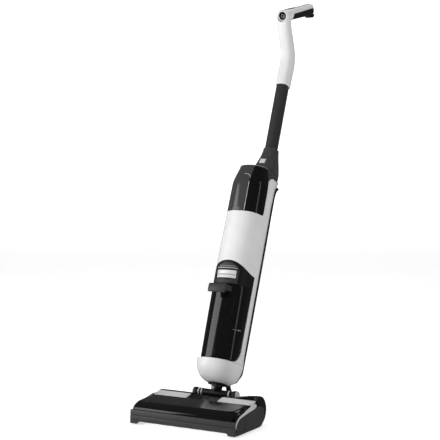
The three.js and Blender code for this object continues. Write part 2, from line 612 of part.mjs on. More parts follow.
function neckCover() {
  const low = SHELL_TOP + GAP;
  const shoulder = skinOf(TOP_RINGS).intersect(box(-70, 70, SPLIT_Y, 90, low, 600));
  const rings = [
    [TANK_TOP - 12, 30, 8, 77],
    [TANK_TOP, 31, 8, 80],
    [TANK_TOP + 20, 28, 14, 81],
    [TANK_TOP + 42, 23.5, 24, 78],
    [COLLAR_TOP - 16, 19.5, 32, 74],
    [COLLAR_TOP, 18.5, 33.5, 71.5],
  ];
  const neck = loft(
    rings.map(([z, half, front, rear]) =>
      ring(z, half, (rear - front) / 2, (rear - front) / 2, 2.6, (front + rear) / 2),
    ),
  );
  const bore = TUBE_HALF + GAP;
  const socket = loft([
    ring(TUBE_BOTTOM - 8, bore, bore, bore, 3, TUBE_Y, 28),
    ring(COLLAR_TOP + 2, bore, bore, bore, 3, TUBE_Y, 28),
  ]);
  const pocket = box(-8.4, 8.4, -10, 31, TANK_TOP + 25.6, TANK_TOP + 40.4);
  const hollow = skinOf(TOP_RINGS, COVER_WALL).intersect(
    box(-70, 70, SPLIT_Y + COVER_WALL, 90, low - 1, TANK_TOP - 2 * COVER_WALL),
  );
  return union(shoulder, neck).subtract(hollow).subtract(socket).subtract(pocket);
}

// The motor and its fan share the room between the arch and the clean tank.
const MOTOR_ROOM = CLEAN_SEAM - ARCH_TOP;
const MOTOR_TOP = ARCH_TOP + 0.584 * MOTOR_ROOM;
const FAN_Z = ARCH_TOP + 0.656 * MOTOR_ROOM;
function impeller() {
  let solid = union(rod("z", FAN_Z - 3, FAN_Z, 0, 0, 27), rod("z", FAN_Z, FAN_Z + 9, 0, 0, 7));
  for (let i = 0; i < 7; i++) {
    const blade = box(5, 26, -1, 1, FAN_Z - 1, FAN_Z + 7).rotate([0, 0, (360 / 7) * i]);
    solid = solid.add(blade);
  }
  return solid;
}

function buildBody() {
  put(leaned, "lower_cup", cup(), WHITE);
  put(leaned, "main_shell", shell(), WHITE);
  put(leaned, "back_cover", backCover(), GLOSS_BLACK);
  const deck = loft([ring(ARCH_TOP + 4, BODY_HALF - 3, BODY_FRONT - 4, BODY_REAR - 3), ring(ARCH_TOP + 7, BODY_HALF - 3, BODY_FRONT - 4, BODY_REAR - 3)]);
  put(leaned, "inner_frame", union(box(3.4 - BODY_HALF, BODY_HALF - 3.4, GAP, GAP + 2, CUP_TOP + 8, ARCH_TOP + 6), deck), SATIN_BLACK);
  put(leaned, "charge_contacts", box(-12, 12, 40, 46, 100, 112), STEEL);
  put(leaned, "suction_motor", rod("z", ARCH_TOP + 7 + GAP, MOTOR_TOP, 0, 0, 30), STEEL);
  put(leaned, "suction_impeller", impeller(), DARK_GREY);
  put(leaned, "battery_pack", box(-23, 23, 6, 36, 84, 222), DARK_GREY);
  put(leaned, "control_board", box(-30, 30, SPLIT_Y + 3, SPLIT_Y + 4.6, CLEAN_SEAM + 8, SHELL_TOP - 23), COPPER_GREEN);
  put(leaned, "water_pump", rod("z", CLEAN_SEAM + 8, CLEAN_SEAM + 50, 0, 14, 13), SATIN_BLACK);
  put(leaned, "dirty_tank", dirtyTank(), SMOKED);
  put(leaned, "tank_lid", tankLid(), DARK_GREY);
  put(leaned, "tank_latch", latch(), SILVER);
  put(leaned, "tank_grip", tankGrip(), DARK_GREY);
  put(leaned, "tank_standpipe", pipe("z", CUP_TOP + 4.4, 236, 14, -38, 8, 6, 20), SMOKED);
  put(leaned, "float", pipe("z", 190, 206, 14, -38, 12.6, 8.4, 20), WHITE);
  const filter = box(20 - BODY_HALF, BODY_HALF - 20, -36, -8, LID_SEAM + 1, LID_SEAM + 22);
  put(leaned, "tank_filter", filter.intersect(skinOf(SHELL_RINGS, LID_WALL + GAP)), PILE);
  put(leaned, "clean_tank", cleanTank(), SMOKED);
  put(leaned, "neck_cover", neckCover(), DARK_GREY);
  const button = box(-8, 8, 15, 28, TANK_TOP + 26, TANK_TOP + 40);
  put(leaned, "tube_release_button", button, SILVER);
}

// ---- stick and handle ---------------------------------------------------------------------------
// The stem's centre line in side view, from the tube's end to the front of the grip.
const STEM = [
  [TUBE_Y, STEM_BOTTOM],
  [53, 846],
  [54, 872],
  [49, 898],
  [34, 922],
  [16, 944],
  [2, 964],
  [-7, 981],
];
const GRIP_FRONT = [-16, 981];
const GRIP_ANGLE = THREE.MathUtils.degToRad(33);
const GRIP_LENGTH = 162;
const GRIP_X = 17;
const GRIP_THICK = 15;
const along = (u, v) => [
  GRIP_FRONT[0] + u * Math.cos(GRIP_ANGLE) - v * Math.sin(GRIP_ANGLE),
  GRIP_FRONT[1] + u * Math.sin(GRIP_ANGLE) + v * Math.cos(GRIP_ANGLE),
];
// A rounded section across a side view path, at point p with direction d.
function sectionAt([y, z], [dy, dz], half, deep, square = 3, count = 24) {
  const size = Math.hypot(dy, dz);
  const [ny, nz] = [dz / size, -dy / size];
  const power = 2 / square;
  return Array.from({ length: count }, (_, i) => {
    const angle = (2 * Math.PI * i) / count;
    const across = half * Math.sign(Math.cos(angle)) * Math.abs(Math.cos(angle)) ** power;
    const out = deep * Math.sign(Math.sin(angle)) * Math.abs(Math.sin(angle)) ** power;
    return new THREE.Vector3(across, y + ny * out, z + nz * out);
  });
}
function stem(inset) {
  const rings = STEM.map((p, i) => {
    const a = STEM[Math.max(0, i - 1)];
    const b = STEM[Math.min(STEM.length - 1, i + 1)];
    return sectionAt(p, [b[0] - a[0], b[1] - a[1]], STEM_X - inset, STEM_DEPTH - inset);
  });
  return loft(rings);
}
function grip(inset) {
  const stations = [
    [inset * 0.6, KNOB_R + 0.5, KNOB_R + 0.5],
    [6, GRIP_X, GRIP_THICK],
    [40, GRIP_X, GRIP_THICK],
    [120, GRIP_X, GRIP_THICK],
    [GRIP_LENGTH - 8, GRIP_X - 1, GRIP_THICK + 1],
    [GRIP_LENGTH - inset, GRIP_X - 4, GRIP_THICK - 3],
  ];
  const direction = [Math.cos(GRIP_ANGLE), Math.sin(GRIP_ANGLE)];
  return loft(stations.map(([u, half, deep]) => sectionAt(along(u, 0), direction, half - inset, deep - inset)));
}
// Everything behind the stem's rear line and below the grip's middle line, in side view.
function darkSide(gap) {
  const rear = STEM.slice(0, -1).map(([y, z]) => [y + 9 + gap, z]);
  rear[0][1] -= 30;
  return slabX([...rear, along(34, 1 - gap), along(GRIP_LENGTH + 20, 5 - gap), [260, 1100], [260, 760]].reverse(), -40, 40);
}

function buildHandle() {
  const tubeRing = (z, size) => ring(z, size, size, size, 3, TUBE_Y, 28);
  const tube = loft([tubeRing(TUBE_BOTTOM, TUBE_HALF), tubeRing(TUBE_TOP, TUBE_HALF)]).subtract(
    loft([tubeRing(TUBE_BOTTOM - 1, TUBE_HALF - TUBE_WALL), tubeRing(TUBE_TOP + 1, TUBE_HALF - TUBE_WALL)]),
  );
  put(leaned, "stick_tube", tube, DARK_GREY);
  const seat = loft([tubeRing(STEM_BOTTOM - 5, TUBE_HALF + GAP), tubeRing(TUBE_TOP + 1, TUBE_HALF + GAP)]);
  const knobSeat = rod("z", -8, 7.4, 0, 0, KNOB_R + GAP, 32);
  const turnKnob = (solid) =>
    solid.rotate([-(90 - 33), 0, 0]).translate([0, GRIP_FRONT[0], GRIP_FRONT[1]]);
  const panelSeat = { u0: 13, u1: 78, half: 10 };
  const oval = (grow, v0, v1) => {
    const { u0, u1, half } = panelSeat;
    const r = half + grow;
    const pill = wasm.Manifold.hull([
      rod("z", v0, v1, 0, u0 + half, r, 20),
      rod("z", v0, v1, 0, u1 - half, r, 20),
    ]);
    return pill.rotate([33, 0, 0]).translate([0, GRIP_FRONT[0], GRIP_FRONT[1]]);
  };
  const whole = union(stem(0), grip(0))
    .subtract(seat)
    .subtract(turnKnob(knobSeat))
    .subtract(oval(GAP, GRIP_THICK - 4.4, GRIP_THICK + 6));
  const room = union(stem(HANDLE_WALL), grip(HANDLE_WALL));
  const hollow = whole.subtract(
    room
      .subtract(turnKnob(rod("z", -1.2, 10, 0, 0, KNOB_R + 2.6, 30)))
      .subtract(oval(2.4, GRIP_THICK - 8, GRIP_THICK + 6))
      .subtract(loft([tubeRing(STEM_BOTTOM - 6, TUBE_HALF + 1.4), tubeRing(TUBE_TOP + 2, TUBE_HALF + 1.4)])),
  );
  const hook = slabX([along(138, -12), along(170, -12), along(171, -17), along(163, -22), along(156, -22)], -10, 10);
  put(leaned, "handle_front_shell", hollow.subtract(darkSide(0)), WHITE);
  put(leaned, "handle_rear_shell", union(hollow.intersect(darkSide(GAP)), hook), SATIN_BLACK);
  put(leaned, "knob_bezel", turnKnob(pipe("z", -1.6, 7, 0, 0, KNOB_R, 10.4, 32)), DARK_GREY);
  put(leaned, "power_knob", turnKnob(rod("z", -0.8, 6, 0, 0, 10, 28)), SILVER);
  const panel = oval(0, GRIP_THICK - 4, GRIP_THICK - 1);
  const place = (solid) => solid.rotate([33, 0, 0]).translate([0, GRIP_FRONT[0], GRIP_FRONT[1]]);
  const buttonAt = (u, r, v0, v1) => place(rod("z", v0, v1, 0, u, r, 20));
  const seats = [30, 56].map((u) => buttonAt(u, 6.4, GRIP_THICK - 5, GRIP_THICK + 2));
  put(leaned, "control_panel", panel.subtract(seats[0]).subtract(seats[1]), GLOSS_BLACK);
  put(leaned, "mode_button", buttonAt(30, 6, GRIP_THICK - 2.4, GRIP_THICK - 0.4), DARK_GREY);
  put(leaned, "self_clean_button", buttonAt(56, 6, GRIP_THICK - 2.4, GRIP_THICK - 0.4), DARK_GREY);
}

buildHead();
buildNeck();
buildBody();
buildHandle();

// The origin is at the centre of the whole outline, on the floor.
root.updateMatrixWorld(true);
const outline = new THREE.Box3().setFromObject(root, true);
root.position.y = -(outline.min.y + outline.max.y) / 2;

export default root;
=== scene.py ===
"""Looks of an upright cordless wet and dry floor washer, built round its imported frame."""

from __future__ import annotations

import json
import logging
import math
from dataclasses import dataclass
from enum import Enum
from typing import Callable, Sequence

import bmesh
import bpy
from mathutils import Matrix, Vector

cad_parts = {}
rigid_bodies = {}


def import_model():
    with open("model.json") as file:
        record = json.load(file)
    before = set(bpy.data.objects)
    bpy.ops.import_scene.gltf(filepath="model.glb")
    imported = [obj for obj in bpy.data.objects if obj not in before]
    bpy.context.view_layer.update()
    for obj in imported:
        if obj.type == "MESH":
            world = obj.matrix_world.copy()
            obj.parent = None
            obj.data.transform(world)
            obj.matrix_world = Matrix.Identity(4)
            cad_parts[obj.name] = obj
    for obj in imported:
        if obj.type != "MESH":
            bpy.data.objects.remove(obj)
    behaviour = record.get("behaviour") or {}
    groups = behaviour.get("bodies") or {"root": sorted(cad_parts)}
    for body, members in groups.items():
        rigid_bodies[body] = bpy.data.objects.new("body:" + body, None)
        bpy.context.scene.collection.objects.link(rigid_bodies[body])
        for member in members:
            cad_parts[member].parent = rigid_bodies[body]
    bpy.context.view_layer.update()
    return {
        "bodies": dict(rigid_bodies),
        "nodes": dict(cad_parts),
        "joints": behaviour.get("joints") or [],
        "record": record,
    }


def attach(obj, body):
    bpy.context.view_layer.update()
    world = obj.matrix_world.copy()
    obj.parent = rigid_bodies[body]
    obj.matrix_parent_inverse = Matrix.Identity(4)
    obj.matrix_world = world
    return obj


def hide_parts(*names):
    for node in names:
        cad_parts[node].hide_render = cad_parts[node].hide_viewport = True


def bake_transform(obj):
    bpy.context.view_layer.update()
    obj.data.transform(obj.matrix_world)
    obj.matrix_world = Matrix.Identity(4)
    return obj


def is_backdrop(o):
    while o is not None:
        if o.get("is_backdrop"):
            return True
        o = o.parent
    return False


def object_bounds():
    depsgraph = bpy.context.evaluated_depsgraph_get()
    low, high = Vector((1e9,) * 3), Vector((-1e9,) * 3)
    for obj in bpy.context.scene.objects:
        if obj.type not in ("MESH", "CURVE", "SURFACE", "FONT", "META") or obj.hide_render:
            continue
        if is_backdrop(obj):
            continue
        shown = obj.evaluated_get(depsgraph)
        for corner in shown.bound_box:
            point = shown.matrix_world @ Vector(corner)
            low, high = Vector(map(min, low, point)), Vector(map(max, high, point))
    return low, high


MM = 0.001
SQUARENESS = 2.65  # power of the body's rounded sections: 2 is an ellipse
LOG = logging.getLogger("floor_washer")

Point = tuple[float, float]
Ring = list[Vector]


# ---- bench ---------------------------------------------------------------------------------------
def clear_selection() -> None:
    """Leaves edit mode and selects nothing."""
    if bpy.context.object and bpy.context.object.mode != "OBJECT":
        bpy.ops.object.mode_set(mode="OBJECT")
    bpy.ops.object.select_all(action="DESELECT")


def focus(obj: bpy.types.Object) -> bpy.types.Object:
    """Selects one object alone and makes it active.

    Args:
        obj: The object to work on.

    Returns:
        The same object.
    """
    clear_selection()
    obj.select_set(True)
    bpy.context.view_layer.objects.active = obj
    return obj


def modify(obj: bpy.types.Object, kind: str, **settings: object) -> None:
    """Adds a modifier and applies it.

    Args:
        obj: The object to change.
        kind: The modifier's type, such as "BEVEL".
        settings: Values of the modifier's own settings.
    """
    focus(obj)
    modifier = obj.modifiers.new(kind.lower(), kind)
    for key, value in settings.items():
        setattr(modifier, key, value)
    bpy.ops.object.modifier_apply(modifier=modifier.name)


def soften(obj: bpy.types.Object, width: float = 0.5, segments: int = 2, angle: float = 35.0) -> None:
    """Rounds the sharp edges of a piece.

    Args:
        obj: The piece.
        width: Width of the rounding in millimetres.
        segments: Steps across the rounding.
        angle: Edges that turn by more than this many degrees are rounded.
    """
    modify(
        obj,
        "BEVEL",
        width=width * MM,
        segments=segments,
        limit_method="ANGLE",
        angle_limit=math.radians(angle),
        miter_outer="MITER_ARC",
        use_clamp_overlap=True,
    )


def smooth(obj: bpy.types.Object, angle: float = 32.0) -> bpy.types.Object:
    """Shades a piece smooth, apart from edges sharper than an angle in degrees."""
    focus(obj)
    bpy.ops.object.shade_smooth_by_angle(angle=math.radians(angle))
    return obj


def merge(obj: bpy.types.Object, distance: float = 1e-5, outward: bool = True) -> None:
    """Joins doubled vertices and turns the faces outwards.

    Args:
        obj: The piece.
        distance: Vertices closer than this, in metres, become one.
        outward: Whether normals are recalculated.
    """
    focus(obj)
    bpy.ops.object.mode_set(mode="EDIT")
    bpy.ops.mesh.select_all(action="SELECT")
    bpy.ops.mesh.remove_doubles(threshold=distance)
    if outward:
        bpy.ops.mesh.normals_make_consistent(inside=False)
    bpy.ops.object.mode_set(mode="OBJECT")


def combine(obj: bpy.types.Object, tool: bpy.types.Object, how: str = "DIFFERENCE") -> None:
    """Joins, cuts or crosses a piece with a tool shape.

    Args:
        obj: The piece that stays.
        tool: The shape that is used on it.
        how: "DIFFERENCE", "UNION" or "INTERSECT".
    """
    modify(obj, "BOOLEAN", object=tool, operation=how, solver="EXACT")
    bpy.data.objects.remove(tool)


def duplicate(obj: bpy.types.Object, name: str) -> bpy.types.Object:
    """Copies an object with a mesh of its own.

    Args:
        obj: The object to copy.
        name: Name of the copy.

    Returns:
        The copy.
    """
    copy = obj.copy()
    copy.data = obj.data.copy()
    copy.name = name
    bpy.context.collection.objects.link(copy)
    return copy


def loft(name: str, rings: Sequence[Ring], caps: bool = True) -> bpy.types.Object:
    """Extrudes a ring of edges from station to station and closes its ends.

    Args:
        name: Name of the piece.
        rings: Rings of points in millimetres, all with the same count.
        caps: Whether both ends are closed.

    Returns:
        The new object, with its mesh in metres.
    """
    clear_selection()
    bpy.ops.mesh.primitive_circle_add(vertices=len(rings[0]), radius=1.0, fill_type="NOTHING")
    obj = bpy.context.object
    obj.name = name
    bpy.ops.object.mode_set(mode="EDIT")
    bpy.ops.mesh.select_mode(type="EDGE")
    mesh = bmesh.from_edit_mesh(obj.data)
    slot = mesh.verts.layers.int.new("slot")
    mesh.verts.ensure_lookup_table()
    for index, vertex in enumerate(mesh.verts):
        vertex[slot] = index
        vertex.co = rings[0][index] * MM
    bmesh.update_edit_mesh(obj.data)
    for ring in rings[1:]:
        bpy.ops.mesh.extrude_edges_move()
        mesh = bmesh.from_edit_mesh(obj.data)
        slot = mesh.verts.layers.int.get("slot")
        for vertex in mesh.verts:
            if vertex.select:
                vertex.co = ring[vertex[slot]] * MM
        bmesh.update_edit_mesh(obj.data)
    if caps:
        bpy.ops.mesh.edge_face_add()
        bpy.ops.mesh.select_all(action="DESELECT")
        bpy.ops.mesh.select_non_manifold(extend=False)
        bpy.ops.mesh.edge_face_add()
    bpy.ops.mesh.select_all(action="SELECT")
    bpy.ops.mesh.normals_make_consistent(inside=False)
    bpy.ops.object.mode_set(mode="OBJECT")
    attribute = obj.data.attributes.get("slot")
    if attribute:
        obj.data.attributes.remove(attribute)
    return obj


def prism_x(name: str, outline: Sequence[Point], x0: float, x1: float) -> bpy.types.Object:
    """A side view outline of (y, z) points given thickness from x0 to x1.

    Args:
        name: Name of the piece.
        outline: The corner points in millimetres.
        x0: Left end.
        x1: Right end.

    Returns:
        The new object.
    """
    return loft(name, [[Vector((x, y, z)) for y, z in outline] for x in (x0, x1)])


def prism_y(name: str, outline: Sequence[Point], y0: float, y1: float) -> bpy.types.Object:
    """A front view outline of (x, z) points given thickness from y0 to y1."""
    return loft(name, [[Vector((x, y, z)) for x, z in outline] for y in (y0, y1)])


def block(
    name: str, low: Sequence[float], high: Sequence[float], round_by: float = 0.0
) -> bpy.types.Object:
    """A block between two corners, with rounded edges where asked.

    Args:
        name: Name of the piece.
        low: Lowest corner in millimetres.
        high: Highest corner in millimetres.
        round_by: Radius of the edges in millimetres.

    Returns:
        The new object.
    """
    clear_selection()
    middle = [(a + b) / 2 * MM for a, b in zip(low, high)]
    bpy.ops.mesh.primitive_cube_add(size=1.0, location=middle)
    obj = bpy.context.object
    obj.name = name
    obj.scale = [(b - a) * MM for a, b in zip(low, high)]
    bpy.ops.object.transform_apply(location=True, rotation=True, scale=True)
    if round_by:
        soften(obj, round_by, 3)
    return obj


def turned(
    name: str,
    profile: Sequence[Point],
    axis: str,
    centre: Point = (0.0, 0.0),
    sides: int = 48,
    loop: bool = False,
) -> bpy.types.Object:
    """A turned piece from a closed or open profile of (radius, height) points.

    Args:
        name: Name of the piece.
        profile: Points from one end to the other; the ends are capped.
        axis: "x", "y" or "z".
        centre: The axis's place in the other two directions, in millimetres.
        sides: Points round the piece.
        loop: Whether the profile closes on itself, as a tyre's does.

    Returns:
        The new object.
    """
    rings: list[Ring] = []
    u, v = centre
    for radius, height in profile:
        ring = []
        for index in range(sides):
            angle = 2 * math.pi * index / sides
            c, s = radius * math.cos(angle), radius * math.sin(angle)
            place = {"x": (height, u + c, v + s), "y": (u + c, height, v + s), "z": (u + c, v + s, height)}
            ring.append(Vector(place[axis]))
        rings.append(ring)
    if not loop:
        return loft(name, rings)
    obj = loft(name, [*rings, rings[0]], caps=False)
    merge(obj)
    return obj


def superellipse(
    z: float,
    half: float,
    front: float,
    rear: float,
    square: float = SQUARENESS,
    middle: float = 0.0,
    count: int = 96,
) -> Ring:
    """An oval ring round the body's axis.

    Args:
        z: Height along the body.
        half: Half width in X.
        front: Depth in front of the middle.
        rear: Depth behind the middle.
        square: Squareness, 2 for an ellipse.
        middle: The middle's place along Y.
        count: Points round the ring.

    Returns:
        The ring's points in millimetres.
    """
    power = 2.0 / square
    ring = []
    for index in range(count):
        angle = 2 * math.pi * index / count
        c, s = math.cos(angle), math.sin(angle)
        depth = front if s < 0 else rear
        x = half * math.copysign(abs(c) ** power, c)
        y = middle + depth * math.copysign(abs(s) ** power, s)
        ring.append(Vector((x, y, z)))
    return ring


def spline(points: Sequence[Sequence[float]], steps: int) -> list[list[float]]:
    """A smooth line through points, with evenly many steps between each two.

    Args:
        points: The points that the line runs through, of any dimension.
        steps: Steps between two neighbouring points.

    Returns:
        The points of the smooth line.
    """
    out: list[list[float]] = []
    last = len(points) - 1
    for index in range(last):
        p0, p1 = points[max(0, index - 1)], points[index]
        p2, p3 = points[index + 1], points[min(last, index + 2)]
        for step in range(steps):
            t = step / steps
            out.append(
                [
                    0.5
                    * (
                        2 * b
                        + (c - a) * t
                        + (2 * a - 5 * b + 4 * c - d) * t * t
                        + (3 * b - a - 3 * c + d) * t**3
                    )
                    for a, b, c, d in zip(p0, p1, p2, p3)
                ]
            )
    out.append(list(points[last]))
    return out


def stations(rows: Sequence[Sequence[float]], steps: int) -> list[list[float]]:
    """Smooth rows between given rows, without overshoot, evenly spaced in their first value.

    Args:
        rows: The rows, each with its height first, from low to high.
        steps: Steps between two neighbouring rows.

    Returns:
        The finer rows.
    """
    pairs = list(zip(rows, rows[1:]))
    rise = [[(q - p) / (b[0] - a[0]) for p, q in zip(a, b)] for a, b in pairs]
    slopes = [rise[0]]
    for before, after in zip(rise, rise[1:]):
        slopes.append([2 * p * q / (p + q) if p * q > 0 else 0.0 for p, q in zip(before, after)])
    slopes.append(rise[-1])
    out: list[list[float]] = []
    for index, (a, b) in enumerate(pairs):
        reach = b[0] - a[0]
        for step in range(steps):
            t = step / steps
            row = []
            for p, q, m, n in zip(a, b, slopes[index], slopes[index + 1]):
                value = (2 * t**3 - 3 * t**2 + 1) * p + (t**3 - 2 * t**2 + t) * reach * m
                row.append(value + (3 * t**2 - 2 * t**3) * q + (t**3 - t**2) * reach * n)
            row[0] = a[0] + reach * t
            out.append(row)
    out.append(list(rows[-1]))
    return out


def cross_section(
    place: Point, way: Point, half: float, deep: float, square: float = 3.0, count: int = 48
) -> Ring:
    """A rounded section set across a line in the side view.

    Args:
        place: The section's middle as (y, z).
        way: The line's direction there.
        half: Half width in X.
        deep: Half depth across the line.
        square: Squareness.
        count: Points round the section.

    Returns:
        The ring's points.
    """
    size = math.hypot(*way)
    ny, nz = way[1] / size, -way[0] / size
    power = 2.0 / square
    ring = []
    for index in range(count):
        angle = 2 * math.pi * index / count
        c, s = math.cos(angle), math.sin(angle)
        out = deep * math.copysign(abs(s) ** power, s)
        ring.append(
            Vector((half * math.copysign(abs(c) ** power, c), place[0] + ny * out, place[1] + nz * out))
        )
    return ring


# ---- shader maths --------------------------------------------------------------------------------
class Value:
    """A number or a colour inside a material, on which Python's own operators add nodes."""

    def __init__(self, tree: bpy.types.NodeTree, socket: bpy.types.NodeSocket) -> None:
        """Wraps one output socket of a node tree."""
        self.tree = tree
        self.socket = socket

    def _math(self, operation: str, other: "Value | float", swap: bool = False) -> "Value":
        """Adds one Math node for this value and another.

        Args:
            operation: The node's operation.
            other: The second value.
            swap: Whether the other value comes first.

        Returns:
            The result.
        """
        node = self.tree.nodes.new("ShaderNodeMath")
        node.operation = operation
        pair = [self, other]
        if swap:
            pair.reverse()
        for socket, item in zip(node.inputs, pair):
            if isinstance(item, Value):
                self.tree.links.new(item.socket, socket)
            else:
                socket.default_value = item
        return Value(self.tree, node.outputs[0])

    def __add__(self, other: "Value | float") -> "Value":
        """Adds."""
        return self._math("ADD", other)

    __radd__ = __add__

    def __mul__(self, other: "Value | float") -> "Value":
        """Multiplies."""
        return self._math("MULTIPLY", other)

    __rmul__ = __mul__

    def __sub__(self, other: "Value | float") -> "Value":
        """Takes the other away."""
        return self._math("SUBTRACT", other)

    def __rsub__(self, other: "Value | float") -> "Value":
        """Takes this away from the other."""
        return self._math("SUBTRACT", other, swap=True)


class Recipe:
    """One material under construction: a Principled shader and the nodes that feed it."""

    def __init__(self, name: str) -> None:
        """Starts an empty material with the given name."""
        self.material = bpy.data.materials.new(name)
        self.material.use_nodes = True
        self.tree = self.material.node_tree
        self.shader = self.tree.nodes["Principled BSDF"]

    def node(
        self,
        kind: str,
        settings: dict[str, object] | None = None,
        inputs: dict[str, object] | None = None,
        output: int | str = 0,
    ) -> Value:
        """Adds any node.

        Args:
            kind: The node's type.
            settings: The node's own settings, set first.
            inputs: Values or links of its sockets by name or number.
            output: The output that is wanted.

        Returns:
            That output.
        """
        node = self.tree.nodes.new(kind)
        for key, value in (settings or {}).items():
            if key == "stops":
                ramp = node.color_ramp
                while len(ramp.elements) < len(value):
                    ramp.elements.new(0.5)
                for element, (place, shade) in zip(ramp.elements, value):
                    element.position = place
                    element.color = (shade, shade, shade, 1.0)
            else:
                setattr(node, key, value)
        for key, value in (inputs or {}).items():
            self.feed(node.inputs[key], value)
        return Value(self.tree, node.outputs[output])

    def feed(self, socket: bpy.types.NodeSocket, value: object) -> None:
        """Links a value to a socket, or sets it when it is a plain number."""
        if isinstance(value, Value):
            self.tree.links.new(value.socket, socket)
        else:
            socket.default_value = value

    def put(self, **sockets: object) -> None:
        """Feeds the shader's sockets, named with underscores for spaces."""
        for key, value in sockets.items():
            self.feed(self.shader.inputs[key.replace("_", " ")], value)

    def place(self) -> Value:
        """The place on the piece, in metres."""
        return self.node("ShaderNodeTexCoord", output="Object")

    def noise(
        self, scale: float, detail: float = 3.0, rough: float = 0.55, where: Value | None = None
    ) -> Value:
        """Noise between 0 and 1, with its scale per metre.

        Args:
            scale: How many patches go in a metre.
            detail: Octaves.
            rough: Weight of the finer octaves.
            where: The coordinates, or the piece's own when left out.

        Returns:
            The noise.
        """
        inputs = {"Vector": where or self.place(), "Scale": scale, "Detail": detail, "Roughness": rough}
        return self.node("ShaderNodeTexNoise", {}, inputs)

    def ramp(self, value: Value, *stops: tuple[float, float]) -> Value:
        """Passes a value through grey stops of (place, shade)."""
        return self.node("ShaderNodeValToRGB", {"stops": stops}, {"Fac": value})

    def blend(self, factor: "Value | float", first: object, second: object) -> Value:
        """Mixes two colours.

        Args:
            factor: 0 for the first colour, 1 for the second.
            first: A colour or a link.
            second: A colour or a link.

        Returns:
            The mixed colour.
        """
        node = self.tree.nodes.new("ShaderNodeMix")
        node.data_type = "RGBA"
        colours = [socket for socket in node.inputs if socket.type == "RGBA"]
        self.feed(node.inputs[0], factor)
        self.feed(colours[0], first)
        self.feed(colours[1], second)
        return Value(self.tree, next(s for s in node.outputs if s.type == "RGBA"))

    def bump(self, height: Value, strength: float, distance: float) -> Value:
        """A normal from a height.

        Args:
            height: The height between 0 and 1.
            strength: How strongly it shows.
            distance: The height's full size in metres.

        Returns:
            The normal.
        """
        return self.node(
            "ShaderNodeBump", {}, {"Height": height, "Strength": strength, "Distance": distance}
        )


def grey(shade: float, warm: float = 0.0) -> tuple[float, float, float, float]:
    """A grey with a touch of warmth (or of blue, below 0)."""
    return (shade * (1 + warm), shade, shade * (1 - warm), 1.0)


@dataclass(frozen=True)
class Plastic:
    """Moulded plastic: a base shade with faint mottling, uneven gloss and a fine moulded grain."""

    name: str
    shade: float
    roughness: float
    grain: float = 0.0
    grain_scale: float = 2600.0
    coat: float = 0.0
    warm: float = 0.0
    metallic: float = 0.0
    smudge: float = 0.06

    def material(self) -> bpy.types.Material:
        """Builds the material.

        Returns:
            The finished material.
        """
        recipe = Recipe(self.name)
        mottle = recipe.noise(28.0, 4.0)
        recipe.put(
            Base_Color=recipe.blend(
                mottle, grey(self.shade * 0.93, self.warm), grey(self.shade * 1.07, self.warm)
            )
        )
        film = recipe.ramp(recipe.noise(55.0, 5.0, 0.65), (0.35, 0.0), (0.7, 1.0))
        recipe.put(Roughness=film * self.smudge + self.roughness, Metallic=self.metallic, IOR=1.49)
        if self.coat:
            recipe.put(Coat_Weight=self.coat, Coat_Roughness=0.04)
        wave = recipe.noise(9.0, 1.0) * 0.6
        if self.grain:
            texture = recipe.noise(self.grain_scale, 2.0, 0.6)
            recipe.put(Normal=recipe.bump(texture + wave, self.grain, 0.00012))
        else:
            recipe.put(Normal=recipe.bump(wave, 0.25, 0.0004))
        return recipe.material


@dataclass(frozen=True)
class SmokedTank:
    """Smoked clear plastic of the tanks: deep, glossy and only just see-through, with an optional painted
    reflection in a lighter grey over one part.
    """

    name: str
    alpha: float = 0.975
    # grey of a painted reflection laid over the part of the tank left of edge; 0 leaves it out
    reflection_shade: float = 0.0
    edge: float = 0.015

    def material(self) -> bpy.types.Material:
        """Builds the material.

        Returns:
            The finished material.
        """
        recipe = Recipe(self.name)
        tint = recipe.noise(14.0, 3.0)
        dark = recipe.blend(tint, grey(0.0025, -0.02), grey(0.0045, -0.02))
        # Painted reflection: left of x = edge the dark tint gives way to a lighter grey, standing in for a
        # softbox reflection on the glossy tank.
        if self.reflection_shade:
            axes = recipe.node("ShaderNodeSeparateXYZ", {}, {"Vector": recipe.place()}, "X")
            reflection_mask = recipe.ramp((axes - self.edge) * 160.0 + 0.5, (0.42, 1.0), (0.58, 0.0))
            dark = recipe.blend(reflection_mask, dark, grey(self.reflection_shade))
        recipe.put(Base_Color=dark, Alpha=self.alpha, IOR=1.52, Coat_Weight=0.6, Coat_Roughness=0.03)
        film = recipe.ramp(recipe.noise(40.0, 5.0, 0.65), (0.4, 0.0), (0.75, 1.0))
        recipe.put(Roughness=film * 0.05 + 0.07, Normal=recipe.bump(recipe.noise(12.0, 1.0), 0.2, 0.0004))
        return recipe.material


@dataclass(frozen=True)
class Metal:
    """Turned or drawn metal with fine lines round or along it."""

    name: str
    shade: float
    roughness: float = 0.28
    lines: float = 900.0

    def material(self) -> bpy.types.Material:
        """Builds the material.

        Returns:
            The finished material.
        """
        recipe = Recipe(self.name)
        stretched = recipe.node(
            "ShaderNodeMapping", {}, {"Vector": recipe.place(), "Scale": (self.lines, 20.0, 20.0)}
        )
        brushed = recipe.noise(1.0, 3.0, 0.6, stretched)
        recipe.put(
            Base_Color=recipe.blend(brushed, grey(self.shade * 0.85), grey(self.shade)), Metallic=1.0
        )
        recipe.put(Roughness=brushed * 0.14 + self.roughness, Normal=recipe.bump(brushed, 0.15, 0.00008))
        return recipe.material


@dataclass(frozen=True)
class Rubber:
    """Matt black rubber with a dusty bloom."""

    name: str
    shade: float = 0.018

    def material(self) -> bpy.types.Material:
        """Builds the material.

        Returns:
            The finished material.
        """
        recipe = Recipe(self.name)
        bloom = recipe.ramp(recipe.noise(90.0, 5.0, 0.7), (0.45, 0.0), (0.8, 1.0))
        recipe.put(Base_Color=recipe.blend(bloom, grey(self.shade), grey(self.shade * 2.2)))
        recipe.put(
            Roughness=bloom * 0.12 + 0.62, Normal=recipe.bump(recipe.noise(1800.0, 2.0), 0.35, 0.00015)
        )
        return recipe.material


